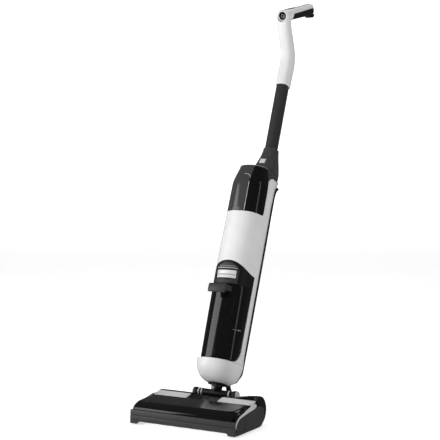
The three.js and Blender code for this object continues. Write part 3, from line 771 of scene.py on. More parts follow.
@dataclass(frozen=True)
class Pile:
    """Short dense microfibre pile with lines of tufts, painted darker in the gaps between them."""

    name: str
    shade: float = 0.60

    def material(self) -> bpy.types.Material:
        """Builds the material.

        Returns:
            The finished material.
        """
        recipe = Recipe(self.name)
        tufts = recipe.node("ShaderNodeTexVoronoi", {}, {"Vector": recipe.place(), "Scale": 520.0})
        fuzz = recipe.noise(1500.0, 3.0, 0.7)
        soil = recipe.noise(35.0, 4.0)
        colour = recipe.blend(
            recipe.ramp(soil, (0.3, 0.0), (0.8, 1.0)),
            grey(self.shade, 0.012),
            grey(self.shade * 0.86, 0.02),
        )
        # The gaps between the tufts, where the bump below sinks lowest, are painted darker: painted shade
        # in the pile.
        recipe.put(Base_Color=recipe.blend(tufts * 0.5, colour, grey(self.shade * 0.6, 0.01)))
        recipe.put(Roughness=fuzz * 0.1 + 0.88, Sheen_Weight=0.5, Sheen_Roughness=0.5)
        recipe.put(Normal=recipe.bump(fuzz * 0.5 - tufts * 0.8, 0.8, 0.0012))
        return recipe.material


@dataclass(frozen=True)
class Ground:
    """Plain pale floor or backdrop, which may glow a little."""

    name: str
    shade: float = 0.86
    glow: float = 0.0

    def material(self) -> bpy.types.Material:
        """Builds the material.

        Returns:
            The finished material.
        """
        recipe = Recipe(self.name)
        recipe.put(Base_Color=grey(self.shade), Roughness=recipe.noise(6.0) * 0.05 + 0.6)
        recipe.put(Emission_Color=(1.0, 1.0, 1.0, 1.0), Emission_Strength=self.glow)
        return recipe.material


class Finish(Enum):
    """The finishes of the washer, by use."""

    WHITE = Plastic("white_shell", 0.80, 0.22, coat=0.35, smudge=0.04)
    BLACK_GLOSS = Plastic("black_gloss", 0.005, 0.10, coat=0.4)
    BLACK_SATIN = Plastic("black_satin", 0.009, 0.38, grain=0.35)
    GREY_SATIN = Plastic("grey_satin", 0.045, 0.34, grain=0.3)
    PANEL = Plastic("cover_panel", 0.018, 0.16, coat=0.3)
    GUNMETAL = Plastic("gunmetal", 0.07, 0.26, grain=0.1, metallic=0.25)
    SILVER = Plastic("silver", 0.74, 0.28, metallic=0.12)
    BRIGHT = Plastic("bright_line", 0.72, 0.22, metallic=0.12)
    SMOKED = SmokedTank("smoked_tank")
    # The top tank's 0.055 grey is a painted reflection, lighter over its part left of x = 15 mm.
    SMOKED_TOP = SmokedTank("smoked_top_tank", 0.97, 0.055)
    LENS = Plastic("dark_lens", 0.012, 0.06, coat=1.0)
    LATCH = Plastic("bright_latch", 0.80, 0.20, coat=0.4, metallic=0.15)
    TUBE = Plastic("tube_grey", 0.045, 0.27, grain=0.12, metallic=0.3)
    MARK = Plastic("grey_mark", 0.32, 0.5)
    STEEL = Metal("turned_steel", 0.58)
    COPPER = Metal("contact_metal", 0.66, 0.2)
    RUBBER = Rubber("rubber")
    PILE = Pile("roller_pile")
    BOARD = Plastic("circuit_board", 0.04, 0.4, warm=-0.3)
    FLOOR = Ground("pale_floor", 0.84, 0.62)
    BACKDROP = Ground("white_backdrop", 0.6, 1.0)


_MADE: dict[Finish, bpy.types.Material] = {}


def dress(obj: bpy.types.Object, finish: Finish) -> bpy.types.Object:
    """Gives a piece one finish all over.

    Args:
        obj: The piece.
        finish: Its finish.

    Returns:
        The piece.
    """
    if finish not in _MADE:
        _MADE[finish] = finish.value.material()
    obj.data.materials.clear()
    obj.data.materials.append(_MADE[finish])
    return obj


# ---- layout --------------------------------------------------------------------------------------
class Layout:
    """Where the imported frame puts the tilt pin, the floor head and the leaned body."""

    def __init__(self, frame: dict) -> None:
        """Reads the joints' places from the frame."""
        self.nodes = frame["nodes"]
        joints = {joint["name"]: joint for joint in frame["joints"]}
        behaviour = frame["record"]["behaviour"]
        self.owner = {node: body for body, members in behaviour["bodies"].items() for node in members}
        self.slots = {row["node"]: row["material_slot"] for row in frame["record"]["subparts"]}
        self.pin = Vector(joints["tilt"]["pos_m"])
        back = Vector(joints["swing"]["axis"])
        self.lean = math.atan2(-back.z, back.y)
        self.head = Matrix.Translation((0.0, self.pin.y, 0.0))
        self.body = Matrix.Translation(self.pin) @ Matrix.Rotation(-self.lean, 4, "X")

    def fit(self, obj: bpy.types.Object, matrix: Matrix) -> None:
        """Moves a piece's mesh into the frame, with its object left at the origin."""
        focus(obj)
        obj.matrix_world = matrix @ obj.matrix_world
        bpy.ops.object.transform_apply(location=True, rotation=True, scale=True)

    def done(
        self,
        obj: bpy.types.Object,
        finish: Finish,
        node: str,
        matrix: Matrix | None = None,
        replaces: Sequence[str] = (),
        angle: float = 32.0,
        rides: bool = True,
    ) -> bpy.types.Object:
        """Dresses a piece, places it and fixes it to the body of a node.

        Args:
            obj: The piece.
            finish: Its finish.
            node: A node on the body that the piece moves with.
            matrix: Moves the piece into the frame, when it was made elsewhere.
            replaces: The nodes that the piece stands for.
            angle: Edges sharper than this many degrees stay sharp.
            rides: Whether the piece moves with the node's body alone.

        Returns:
            The piece.
        """
        if matrix is not None:
            self.fit(obj, matrix)
        smooth(obj, angle)
        dress(obj, finish)
        if rides:
            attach(obj, self.owner[node])
        if replaces:
            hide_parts(*replaces)
        LOG.info("%s rides on %s", obj.name, self.owner[node])
        return obj

    def refined(
        self, node: str, finish: Finish, width: float = 0.5, angle: float = 35.0, name: str = ""
    ) -> bpy.types.Object:
        """A finished copy of a node with its doubles merged and its edges rounded.

        Args:
            node: The node's name.
            finish: Its finish.
            width: Rounding of the edges in millimetres.
            angle: Edges that turn by more than this are rounded.
            name: Name of the copy.

        Returns:
            The finished piece.
        """
        obj = duplicate(self.nodes[node], name or node + "_made")
        focus(obj)
        bpy.ops.mesh.customdata_custom_splitnormals_clear()
        merge(obj, 2e-6, outward=False)
        focus(obj)
        bpy.ops.object.mode_set(mode="EDIT")
        bpy.ops.mesh.select_all(action="SELECT")
        bpy.ops.mesh.dissolve_limited(angle_limit=math.radians(0.6))
        bpy.ops.object.mode_set(mode="OBJECT")
        if width:
            soften(obj, width, 2, angle)
        return self.done(obj, finish, node, replaces=[node])


# ---- floor head ----------------------------------------------------------------------------------
@dataclass
class Head:
    """The floor head: covers, trim, roller, drive and wheels. Sizes are in millimetres."""

    layout: Layout
    half: float = 140.0
    front: float = -156.0
    cover_half: float = 131.0
    roller_radius: float = 22.5
    roller_half: float = 113.0
    wheel_radius: float = 20.0
    wheel_y: float = 88.0
    skin_points: tuple[Point, ...] = (
        (1.8, 36.0),
        (3.6, 40.0),
        (8.0, 43.8),
        (17.0, 48.2),
        (22.0, 50.2),
        (30.0, 51.2),
        (55.0, 52.8),
        (88.0, 55.0),
        (113.0, 60.5),
        (124.0, 61.0),
    )

    def __post_init__(self) -> None:
        """Works out the smooth top skin."""
        self.skin = [(self.front + t, z) for t, z in spline(self.skin_points, 8)]

    def height(self, y: float) -> float:
        """Height of the top skin at a place along the head."""
        for (y0, z0), (y1, z1) in zip(self.skin, self.skin[1:]):
            if y <= y1:
                return z0 + (z1 - z0) * (y - y0) / (y1 - y0)
        return self.skin[-1][1]

    def under(self, y0: float, y1: float, top: float, bottom: float) -> list[Point]:
        """The side outline between the skin lowered by top and the skin lowered by bottom."""
        places = [y0] + [y for y, _ in self.skin if y0 < y < y1] + [y1]
        upper = [(y, self.height(y) - top) for y in places]
        lower = [(y, self.height(y) - bottom) for y in reversed(places)]
        return upper + lower

    def draped(
        self,
        name: str,
        ends: Callable[[float], Point],
        y0: float,
        y1: float,
        lift: float,
        thick: float,
        corner: float = 0.0,
    ) -> bpy.types.Object:
        """A plate laid on the skin.

        Args:
            name: Name of the piece.
            ends: Gives the plate's left and right end at a place along it from 0 to 1.
            y0: Front edge.
            y1: Rear edge.
            lift: Height of the plate's top over the skin.
            thick: Its thickness.
            corner: Radius of its corners in plan.

        Returns:
            The new object.
        """
        clear_selection()
        bpy.ops.mesh.primitive_grid_add(x_subdivisions=36, y_subdivisions=14, size=2.0)
        obj = bpy.context.object
        obj.name = name
        reach = y1 - y0
        for vertex in obj.data.vertices:
            u, v = (vertex.co.x + 1) / 2, (vertex.co.y + 1) / 2
            left, right = ends(v)
            x, y = left + (right - left) * u, y0 + reach * v
            if corner:
                dx = corner - min(x - left, right - x)
                dy = corner - min(y - y0, y1 - y)
                if dx > 0 and dy > 0:
                    size = max(dx, dy)
                    pull = size / math.hypot(dx, dy)
                    x += (dx - dx * pull) * (1 if x < (left + right) / 2 else -1)
                    y += (dy - dy * pull) * (1 if y < (y0 + y1) / 2 else -1)
            vertex.co = Vector((x, y, self.height(y) + lift)) * MM
        modify(obj, "SOLIDIFY", thickness=thick * MM, offset=-1.0)
        soften(obj, min(0.7, thick * 0.4), 3)
        return obj

    def ribbon(
        self, name: str, stops: Sequence[tuple[float, float, float, float, Vector]], thick: float
    ) -> bpy.types.Object:
        """A flat rounded band swept along a line in space.

        Args:
            name: Name of the piece.
            stops: x, y, z, width and outward normal at each stop.
            thick: Thickness of the band.

        Returns:
            The new object.
        """
        flat = spline([(x, y, z, w, *n) for x, y, z, w, n in stops], 8)
        rings = []
        for index, stop in enumerate(flat):
            before, after = flat[max(0, index - 1)], flat[min(len(flat) - 1, index + 1)]
            way = (Vector(after[:3]) - Vector(before[:3])).normalized()
            out = Vector(stop[4:7]).normalized()
            side = way.cross(out).normalized()
            ring = []
            for step in range(20):
                angle = 2 * math.pi * step / 20
                c, s = math.cos(angle), math.sin(angle)
                across = stop[3] / 2 * math.copysign(abs(c) ** 0.5, c)
                up = thick / 2 * math.copysign(abs(s) ** 0.5, s)
                ring.append(Vector(stop[:3]) + side * across + out * up)
            rings.append(ring)
        return loft(name, rings)

    def build_covers(self) -> None:
        """The gloss cover over the roller, its panel and the covers behind them."""
        put, made = self.layout.done, self.layout.head
        cover = prism_x(
            "roller_cover_shell",
            self.under(self.front + 1.8, self.front + 87.6, 0.0, 2.6),
            -self.cover_half,
            self.cover_half,
        )
        soften(cover, 1.0, 3, 50)
        put(cover, Finish.BLACK_GLOSS, "roller_cover", made, ["roller_cover"])
        panel = self.draped(
            "cover_panel",
            lambda v: (-119 - 8 * v, 119 + 8 * v),
            self.front + 22.5,
            self.front + 84,
            1.3,
            1.2,
            7.0,
        )
        put(panel, Finish.PANEL, "cover_top_panel", made, ["cover_top_panel"])
        self.layout.refined("rear_cover", Finish.BLACK_SATIN, 0.8)
        self.layout.refined("chassis", Finish.BLACK_SATIN, 0.5)
        self.layout.refined("drive_housing", Finish.BLACK_GLOSS, 1.2)
        latch = self.draped(
            "cover_latch_key", lambda v: (-40, 40), self.front + 90, self.front + 111.5, -1.2, 3.4, 3.0
        )
        put(latch, Finish.BLACK_GLOSS, "cover_latch", made, ["cover_latch"])
        for index in range(3):
            y = self.front + 96 + 5 * index
            ridge = self.draped(f"cover_latch_ridge_{index}", lambda v: (-14, 14), y, y + 1.8, -0.5, 1.0)
            put(ridge, Finish.BLACK_SATIN, "cover_latch", made)

    def build_front(self) -> None:
        """The grey front band and the bumper below it."""
        f = self.front
        outline = [
            (f + 3.4, 21.4),
            (f + 0.9, 21.4),
            (f + 0.35, 22.2),
            (f + 0.5, 26.0),
            (f + 1.0, 30.0),
            (f + 1.7, 34.0),
            (f + 4.4, 34.4),
        ]
        band = prism_x("front_band_bar", outline, -self.half + 1, self.half - 1)
        soften(band, 0.9, 3, 50)
        self.layout.done(band, Finish.GREY_SATIN, "front_band", self.layout.head, ["front_band"])
        self.layout.refined("front_bumper", Finish.GREY_SATIN, 1.3)

    def build_trim(self) -> None:
        """The bright strips behind the cover and the bands down its shoulders."""
        for side, label in ((1, "right"), (-1, "left")):
            ends = (42.0, self.cover_half) if side > 0 else (-self.cover_half, -42.0)
            strip = self.draped(
                f"trim_strip_{label}",
                lambda v, e=ends: e,
                self.front + 88.2,
                self.front + 113,
                0.3,
                3.0,
                2.5,
            )
            self.layout.done(strip, Finish.SILVER, "trim_" + label, self.layout.head, ["trim_" + label])
            up = Vector((0.25 * side, 0, 1))
            out = Vector((0.8 * side, -0.1, 0.6))
            fore = Vector((0.75 * side, -0.65, 0.1))
            stops = [
                (side * 128.0, 101, 57.0, 20.0, up),
                (side * 133.0, 97, 55.2, 16.0, Vector((0.5 * side, 0, 0.9))),
                (side * 136.6, 88, 52.2, 11.0, out),
                (side * 137.6, 70, 49.0, 8.0, out),
                (side * 137.9, 48, 45.4, 6.4, out),
                (side * 137.9, 27, 41.2, 5.2, out),
                (side * 137.6, 13, 34.0, 3.8, Vector((0.85 * side, -0.35, 0.4))),
                (side * 137.4, 6.6, 24.0, 2.6, fore),
                (side * 137.4, 5.2, 10.0, 2.2, fore),
            ]
            band = self.ribbon(
                f"trim_band_{label}", [(x, self.front + t, z, w, n) for x, t, z, w, n in stops], 1.8
            )
            self.layout.done(band, Finish.SILVER, "trim_" + label, self.layout.head)

    def build_shoulders(self) -> None:
        """The black shoulders that round the cover's ends down to the end panels."""
        for side, label in ((1, "right"), (-1, "left")):
            rings = []
            stops = spline(
                [
                    (8, 30, 40),
                    (16, 38, 46),
                    (30, 42.5, 50.2),
                    (55, 46.4, 52),
                    (85, 50.5, 54),
                    (112, 51, 58.5),
                ],
                6,
            )
            for t, low, high in stops:
                ring = []
                for step in range(9):
                    angle = math.pi / 2 * step / 8
                    x = 131.2 + 6.2 * math.sin(angle)
                    z = low + (high - 0.6 - low) * math.cos(angle) ** 0.8
                    ring.append(Vector((side * x, self.front + t, z)))
                ring.append(Vector((side * 137.4, self.front + t, low - 4)))
                ring.append(Vector((side * 131.2, self.front + t, low - 4)))
                rings.append(ring)
            shoulder = loft(f"cover_shoulder_{label}", rings)
            self.layout.done(shoulder, Finish.BLACK_GLOSS, "end_panel_" + label, self.layout.head)

    def build_ends(self) -> None:
        """The grey end panels with their round roller caps."""
        corners = [
            (7, 2.4),
            (60, 2),
            (113, 2),
            (126, 6),
            (134, 16),
            (135, 27),
            (132.5, 40),
            (124, 47.6),
            (108, 49.4),
            (92, 48.6),
        ]
        corners += [(70, 46), (46, 42.6), (21, 37.7), (9.5, 29), (5.4, 16), (5.2, 5)]
        closed = corners[-2:] + corners + corners[:2]
        line = spline(closed, 5)[10:-10]
        for side, label in ((1, "right"), (-1, "left")):
            ring = [(self.front + t, z) for t, z in line[:-1]]
            low, high = sorted((side * 136.7, side * 140.0))
            panel = prism_x(f"end_plate_{label}", ring, low, high)
            for outer, inner, depth in ((14.4, 13.0, 1.0), (6.0, 4.6, 0.7)):
                disc = turned("disc", [(outer, 140 - depth), (outer, 142)], "x", (self.front + 32, 21), 48)
                core = turned("core", [(inner, 138), (inner, 143)], "x", (self.front + 32, 21), 48)
                combine(disc, core)
                if side < 0:
                    for vertex in disc.data.vertices:
                        vertex.co.x = -vertex.co.x
                    merge(disc)
                combine(panel, disc)
            soften(panel, 0.9, 3, 40)
            self.layout.done(
                panel, Finish.GREY_SATIN, "end_panel_" + label, self.layout.head, ["end_panel_" + label]
            )

    def build_roller(self) -> None:
        """The fluffy roller and its ends."""
        y = self.front + 27
        rings = []
        for step in range(141):
            x = -self.roller_half + 2 * self.roller_half * step / 140
            edge = min(1.0, (self.roller_half - abs(x)) / 2.5 + 0.75)
            ring = []
            for index in range(72):
                angle = 2 * math.pi * index / 72
                wave = 0.5 + 0.5 * math.sin(6 * angle + x * 0.16)
                tuft = 0.25 * math.sin(31 * angle + x * 1.3) * math.sin(x * 2.1)
                radius = (self.roller_radius - 0.75 * wave**2 - abs(tuft)) * edge
                ring.append(
                    Vector(
                        (x, y + radius * math.cos(angle), self.roller_radius + radius * math.sin(angle))
                    )
                )
            rings.append(ring)
        pile = loft("roller_fluff", rings)
        self.layout.done(pile, Finish.PILE, "roller_pile", self.layout.head, ["roller_pile"], 60)
        self.layout.refined("roller_core", Finish.BLACK_SATIN, 0.6)
        self.layout.refined("roller_pulley", Finish.BLACK_SATIN, 0.5)

    def build_wheels(self) -> None:
        """The rear wheels: rubber tyres with a tread on dished hubs."""
        for side, label in ((1, "right"), (-1, "left")):
            a, b = 37.0, 53.0
            r = self.wheel_radius
            profile = [(16.4, a + 0.4), (17.6, a), (r - 1.4, a + 0.4), (r - 0.3, a + 1.8), (r, a + 3.4)]
            for groove in (a + 5.6, a + 10.4):
                profile += [
                    (r, groove - 0.7),
                    (r - 0.9, groove - 0.45),
                    (r - 0.9, groove + 0.45),
                    (r, groove + 0.7),
                ]
            profile += [(r, b - 3.4), (r - 0.3, b - 1.8), (r - 1.4, b - 0.4), (17.6, b), (16.4, b - 0.4)]
            tyre = turned(
                f"tyre_{label}",
                [(q, side * x) for q, x in profile],
                "x",
                (self.wheel_y, r),
                72,
                loop=True,
            )
            self.layout.done(
                tyre, Finish.RUBBER, "wheel_tyre_" + label, self.layout.head, ["wheel_tyre_" + label]
            )
            dish = [
                (4.6, b - 3.6),
                (5.6, b - 1.2),
                (6.8, b - 1.2),
                (8.0, b - 4.0),
                (12.6, b - 4.4),
                (13.8, b - 1.6),
                (15.6, b - 1.0),
                (15.6, a + 1),
                (4.6, a + 1),
            ]
            hub = turned(
                f"hub_{label}", [(q, side * x) for q, x in dish], "x", (self.wheel_y, r), 60, loop=True
            )
            self.layout.done(
                hub, Finish.BLACK_SATIN, "wheel_hub_" + label, self.layout.head, ["wheel_hub_" + label]
            )
            cap = turned(
                f"axle_cap_{label}",
                [
                    (0.6, side * (b + 0.6)),
                    (3.0, side * (b + 0.2)),
                    (3.9, side * (b - 0.8)),
                    (3.9, side * (b - 1.6)),
                ],
                "x",
                (self.wheel_y, r),
                36,
            )
            self.layout.done(cap, Finish.STEEL, "wheel_axle", self.layout.head)

    def build_works(self) -> None:
        """The parts inside and behind the head."""
        refined = self.layout.refined
        refined("rear_frame", Finish.BLACK_SATIN, 0.9)
        refined("wheel_axle", Finish.STEEL, 0.4)
        refined("tilt_pin", Finish.STEEL, 0.5)
        refined("brush_motor", Finish.STEEL, 0.8)
        refined("motor_pinion", Finish.STEEL, 0.3)
        refined("drive_belt", Finish.RUBBER, 0.2)
        refined("roller_scraper", Finish.RUBBER, 0.4)
        refined("floor_squeegee", Finish.RUBBER, 0.4)
        refined("suction_duct", Finish.BLACK_SATIN, 0.5)
        for side, label in ((1, "right"), (-1, "left")):
            profile = [
                (9.4, 57.2),
                (9.8, 58.0),
                (9.4, 59.6),
                (8.2, 60.4),
                (6.4, 60.6),
                (6.0, 60.1),
                (1.0, 60.0),
            ]
            cap = turned(
                f"pivot_cap_{label}",
                [(q, side * x) for q, x in profile],
                "x",
                (0.0, self.layout.pin.z / MM),
                48,
            )
            self.layout.done(cap, Finish.SILVER, "tilt_pin", self.layout.head)

    def build(self) -> None:
        """Builds the whole floor head."""
        self.build_covers()
        self.build_front()
        self.build_trim()
        self.build_shoulders()
        self.build_ends()
        self.build_roller()
        self.build_wheels()
        self.build_works()


# ---- body ----------------------------------------------------------------------------------------
def arc(centre: Point, radius: float, first: float, last: float, steps: int = 10) -> list[Point]:
    """Points on an arc between two angles in degrees."""
    angles = [math.radians(first + (last - first) * step / steps) for step in range(steps + 1)]
    return [(centre[0] + radius * math.cos(a), centre[1] + radius * math.sin(a)) for a in angles]


@dataclass
class Skin:
    """The outside of the leaned body and the lines along which its shells meet, in millimetres."""

    cup: tuple[tuple[float, float, float, float], ...] = (
        (23, 24.5, 30.5, 25.5),
        (24.2, 27.8, 34, 29),
        (27, 32.2, 39.8, 33.4),
        (34, 39.4, 49.3, 41),
        (45, 45.4, 57.8, 46),
        (57, 48.8, 61.8, 48.8),
        (72, 50.4, 63.2, 50),
    )
    shell: tuple[tuple[float, float, float, float], ...] = (
        (72.4, 50.4, 63.2, 50),
        (90, 48.9, 59.2, 50),
        (120, 48, 57.5, 50),
        (438, 47.5, 56.5, 50),
        (509, 47, 56, 51),
        (525, 46.4, 55, 56),
        (535, 45.8, 54, 65),
        (543, 45, 53, 72),
    )
    tank: tuple[tuple[float, float, float, float], ...] = (
        (72.4, 46.4, 50.4, 50),
        (164, 47.1, 54.3, 50),
        (255, 47.5, 56.9, 50),
    )
    top: tuple[tuple[float, float, float, float], ...] = (
        (438.4, 47.5, 56.5, 50),
        (480, 47.3, 56.3, 50.5),
        (512, 47, 56, 53),
        (533, 44, 51.2, 66),
        (548, 40.4, 46.2, 74),
        (559, 37.6, 42.4, 76),
        (562, 35.4, 40.0, 75),
    )
    base: float = 72.8
    corner: float = 36.0
    arch_side: float = 270.0
    arch_top: float = 313.0
    arch_half: float = 52.0
    lid: float = 254.0
    seam: float = 438.2
    split: float = -12.0
    shell_top: float = 543.0
    wall: float = 2.4

    def solid(
        self,
        name: str,
        rows: Sequence[Sequence[float]],
        inset: float = 0.0,
        trim: float = 0.0,
        steps: int = 5,
    ) -> bpy.types.Object:
        """A closed body through oval stations.

        Args:
            name: Name of the piece.
            rows: Height, half width, front depth and rear depth at each station.
            inset: How far the skin moves inwards.
            trim: How much is left off at both ends.
            steps: Rings between two stations.

        Returns:
            The new object.
        """
        rows = stations(rows, steps)
        if trim:
            low, high = rows[0][0] + trim, rows[-1][0] - trim
            kept = [row for row in rows if low + 0.2 < row[0] < high - 0.2]
            rows = [[low, *rows[0][1:]], *kept, [high, *rows[-1][1:]]]
        return loft(name, [superellipse(z, h - inset, f - inset, r - inset) for z, h, f, r in rows])

    def bay(self, gap: float, top: float = 420.0, floor: float | None = None) -> bpy.types.Object:
        """The space of the dirty tank and its lid, drawn in by a gap.

        Args:
            gap: The distance kept from the space's own walls.
            top: Where the space is cut off above.
            floor: Where the space is cut off below, instead of at its own base.

        Returns:
            The new object.
        """
        base, radius = self.base + gap, self.corner
        sweep = arc((-gap - radius, base + radius), radius, -90, 0)
        side = [(-95.0, base), *sweep, (-gap, top), (-95.0, top)]
        if floor is not None:
            side = [(-95.0, floor), (-gap, floor), (-gap, top), (-95.0, top)]
        half = self.arch_half - gap
        rise = self.arch_top - self.arch_side
        front = [(-half, 60.0), (half, 60.0), (half, self.arch_side)]
        for step in range(1, 40):
            angle = math.pi * step / 40
            front.append((half * math.cos(angle), self.arch_side - gap + rise * math.sin(angle)))
        front.append((-half, self.arch_side))
        space = prism_x("bay_side", side, -60, 60)
        combine(space, prism_y("bay_front", front, -96, 30), "INTERSECT")
        return space

    def above(self, gap: float) -> bpy.types.Object:
        """Everything above the line where the white shell ends.

        Args:
            gap: How far the line moves upwards and backwards.

        Returns:
            The new object.
        """
        low, front = self.seam + gap, self.split - gap
        line = [(-95.0, low)] + arc((front - 8, low + 8), 8, -90, 0, 6)
        line += arc((front + 24, self.shell_top + gap - 24), 24, 180, 90, 10)
        line += [(100.0, self.shell_top + gap), (100.0, 660.0), (-95.0, 660.0)]
        return prism_x("above_seam", line, -60, 60)

    def front_at(self, x: float, z: float) -> float:
        """Depth of the skin in front of the axis at a place, as a positive number."""
        rows = self.tank if z < self.lid else self.shell if z < self.seam else self.top
        for low, high in zip(rows, rows[1:]):
            if z <= high[0]:
                break
        part = max(0.0, min(1.0, (z - low[0]) / (high[0] - low[0])))
        half, deep = (low[i] + (high[i] - low[i]) * part for i in (1, 2))
        return deep * (1 - min(1.0, abs(x) / half) ** SQUARENESS) ** (1 / SQUARENESS)


@dataclass
class MainBody:
    """The white shell, its black spine, the neck cover and the works inside."""

    layout: Layout
    skin: Skin

    def put(
        self, obj: bpy.types.Object, finish: Finish, node: str, *stands_for: str, angle: float = 32.0
    ) -> bpy.types.Object:
        """Places a piece made round the body's axis."""
        return self.layout.done(obj, finish, node, self.layout.body, stands_for, angle)

    def build_cup(self) -> None:
        """The white cup under the body."""
        cup = self.skin.solid("cup_shell", self.skin.cup, steps=6)
        combine(cup, turned("hose_way", [(6.6, 20), (6.6, 30)], "z", (15, 25), 40))
        soften(cup, 0.6, 3, 50)
        self.put(cup, Finish.WHITE, "lower_cup", "lower_cup")
        ring = turned(
            "cup_collar",
            [(19, 21.8), (20.4, 21.8), (21.4, 22.4), (21.4, 23.2), (18.6, 23.2), (18.6, 22.2)],
            "z",
            (0, -2),
            60,
            loop=True,
        )
        self.put(ring, Finish.GREY_SATIN, "lower_cup")

    def build_shell(self) -> None:
        """The white shell with the arch over the dirty tank."""
        skin = self.skin
        shell = skin.solid("white_shell", skin.shell)
        combine(shell, skin.solid("shell_room", skin.shell, skin.wall, 3.0))
        combine(shell, skin.bay(0.0))
        combine(shell, skin.above(0.0))
        combine(shell, block("spine_window", (-30, 20, 90), (30, 90, 500)))
        soften(shell, 0.7, 3, 48)
        self.put(shell, Finish.WHITE, "main_shell", "main_shell")

    def build_spine(self) -> None:
        """The black back cover with louvres, screws and charging contacts."""
        rows = [
            (35, 28, 20, 49),
            (62, 36, 24, 59),
            (200, 36.3, 24, 60),
            (507, 36, 24, 60),
            (525, 36, 24, 65),
            (537, 36, 24, 76),
        ]
        rings = []
        for z, half, front, rear in stations(rows, 5):
            rings.append(
                superellipse(z, half, (rear - front) / 2, (rear - front) / 2, 4, (front + rear) / 2, 72)
            )
        spine = loft("spine_cover", rings)
        rows = [*self.skin.cup[2:], *self.skin.shell[1:]]
        wrap = self.skin.solid("spine_wrap", rows, -1.0, steps=4)
        sweep = arc((46, 478), 22, 180, 110, 8)
        line = [(24.0, 30.0), (24.0, 478.0), *sweep, (95.0, 524.0), (95.0, 30.0)]
        combine(wrap, prism_x("wrap_side", line, -70, 70), "INTERSECT")
        combine(spine, wrap, "UNION")
        combine(spine, self.skin.solid("spine_seat", rows, -0.4, steps=4))
        for index in range(7):
            z = 346 + 9 * index
            combine(spine, block("louvre", (-18, 57.2, z), (18, 70, z + 4), 0.0))
        soften(spine, 0.9, 3, 45)
        self.put(spine, Finish.BLACK_GLOSS, "back_cover", "back_cover")
        for index, (x, z) in enumerate(((-24, 84), (24, 84), (-24, 320), (24, 320), (0, 486))):
            profile = [(3.2, 58.6), (3.2, 60.3), (2.9, 60.6), (1.5, 60.5), (1.4, 59.9), (0.2, 59.8)]
            screw = turned(f"spine_screw_{index}", profile, "y", (x, z), 30)
            self.put(screw, Finish.STEEL, "back_cover")
        for index, x in enumerate((-9, 9)):
            profile = [(4.6, 57.0), (4.6, 60.2), (4.1, 60.7), (0.3, 60.8)]
            pad = turned(f"charge_pad_{index}", profile, "y", (x, 70), 36)
            self.put(pad, Finish.COPPER, "back_cover")

    def build_neck_cover(self) -> None:
        """The dark metallic cover that grows from the shoulders into the tube's collar."""
        skin = self.skin
        cover = skin.solid("neck_cowl", skin.top, steps=4)
        combine(cover, block("cowl_front", (-70, -100, 400), (70, skin.split + 0.2, 600)))
        combine(cover, skin.above(0.5), "INTERSECT")
        rows = [
            (550, 30, 9, 76),
            (562, 31, 8.4, 79.6),
            (574, 30, 10.4, 81),
            (588, 26.8, 16, 81),
            (604, 23.5, 24, 78),
            (622, 19.9, 31, 74.4),
            (632, 18.8, 33, 72.4),
            (638, 18.5, 33.5, 71.5),
        ]
        rings = []
        for z, half, front, rear in stations(rows, 5):
            rings.append(
                superellipse(
                    z, half, (rear - front) / 2, (rear - front) / 2, 2.6, (front + rear) / 2, 72
                )
            )
        combine(cover, loft("collar", rings), "UNION")
        modify(cover, "REMESH", mode="VOXEL", voxel_size=1.1 * MM, adaptivity=0.0)
        modify(cover, "SMOOTH", factor=0.5, iterations=5)
        combine(cover, block("button_seat", (-8.6, 8, 587.4), (8.6, 26, 602.6), 1.0))
        combine(cover, loft("tube_way", [superellipse(z, 15.5, 15.5, 15.5, 3, 52, 48) for z in (600, 645)]))
        soften(cover, 0.4, 2, 50)
        self.put(cover, Finish.GUNMETAL, "neck_cover", "neck_cover")
        height = 545.6
        rows = [
            superellipse(height + rise, 45.1 + grow, 30, 72.2 + grow, SQUARENESS, 0, 96)
            for rise, grow in ((-0.9, -0.6), (-0.6, 0.2), (0.6, 0.2), (0.9, -0.6))
        ]
        line = loft("shoulder_line_0", rows)
        combine(line, block("line_front", (-70, -100, 500), (70, 14, 600)))
        self.put(line, Finish.BLACK_SATIN, "neck_cover")
        button = block("release_key", (-7.8, 15.4, 588.4), (7.8, 25, 601.8), 1.4)
        focus(button)
        bpy.ops.object.mode_set(mode="EDIT")
        bpy.ops.mesh.select_all(action="SELECT")
        bpy.ops.mesh.dissolve_limited(angle_limit=math.radians(1.0))
        bpy.ops.object.mode_set(mode="OBJECT")
        for vertex in button.data.vertices:
            vertex.co.y += (vertex.co.z - 0.5884) * 0.30
        self.put(button, Finish.SILVER, "tube_release_button", "tube_release_button")

    def build_works(self) -> None:
        """The fork under the cup and the works inside the shell."""
        refined = self.layout.refined
        refined("neck_fork", Finish.BLACK_SATIN, 0.8)
        refined("inner_frame", Finish.BLACK_SATIN, 0.5)
        refined("charge_contacts", Finish.COPPER, 0.3)
        refined("suction_motor", Finish.STEEL, 0.8)
        refined("suction_impeller", Finish.BLACK_SATIN, 0.2)
        refined("battery_pack", Finish.BLACK_SATIN, 0.9)
        refined("control_board", Finish.BOARD, 0.2)
        refined("water_pump", Finish.BLACK_SATIN, 0.6)

    def build(self) -> None:
        """Builds the body."""
        self.build_cup()
        self.build_shell()
        self.build_spine()
        self.build_neck_cover()
        self.build_works()


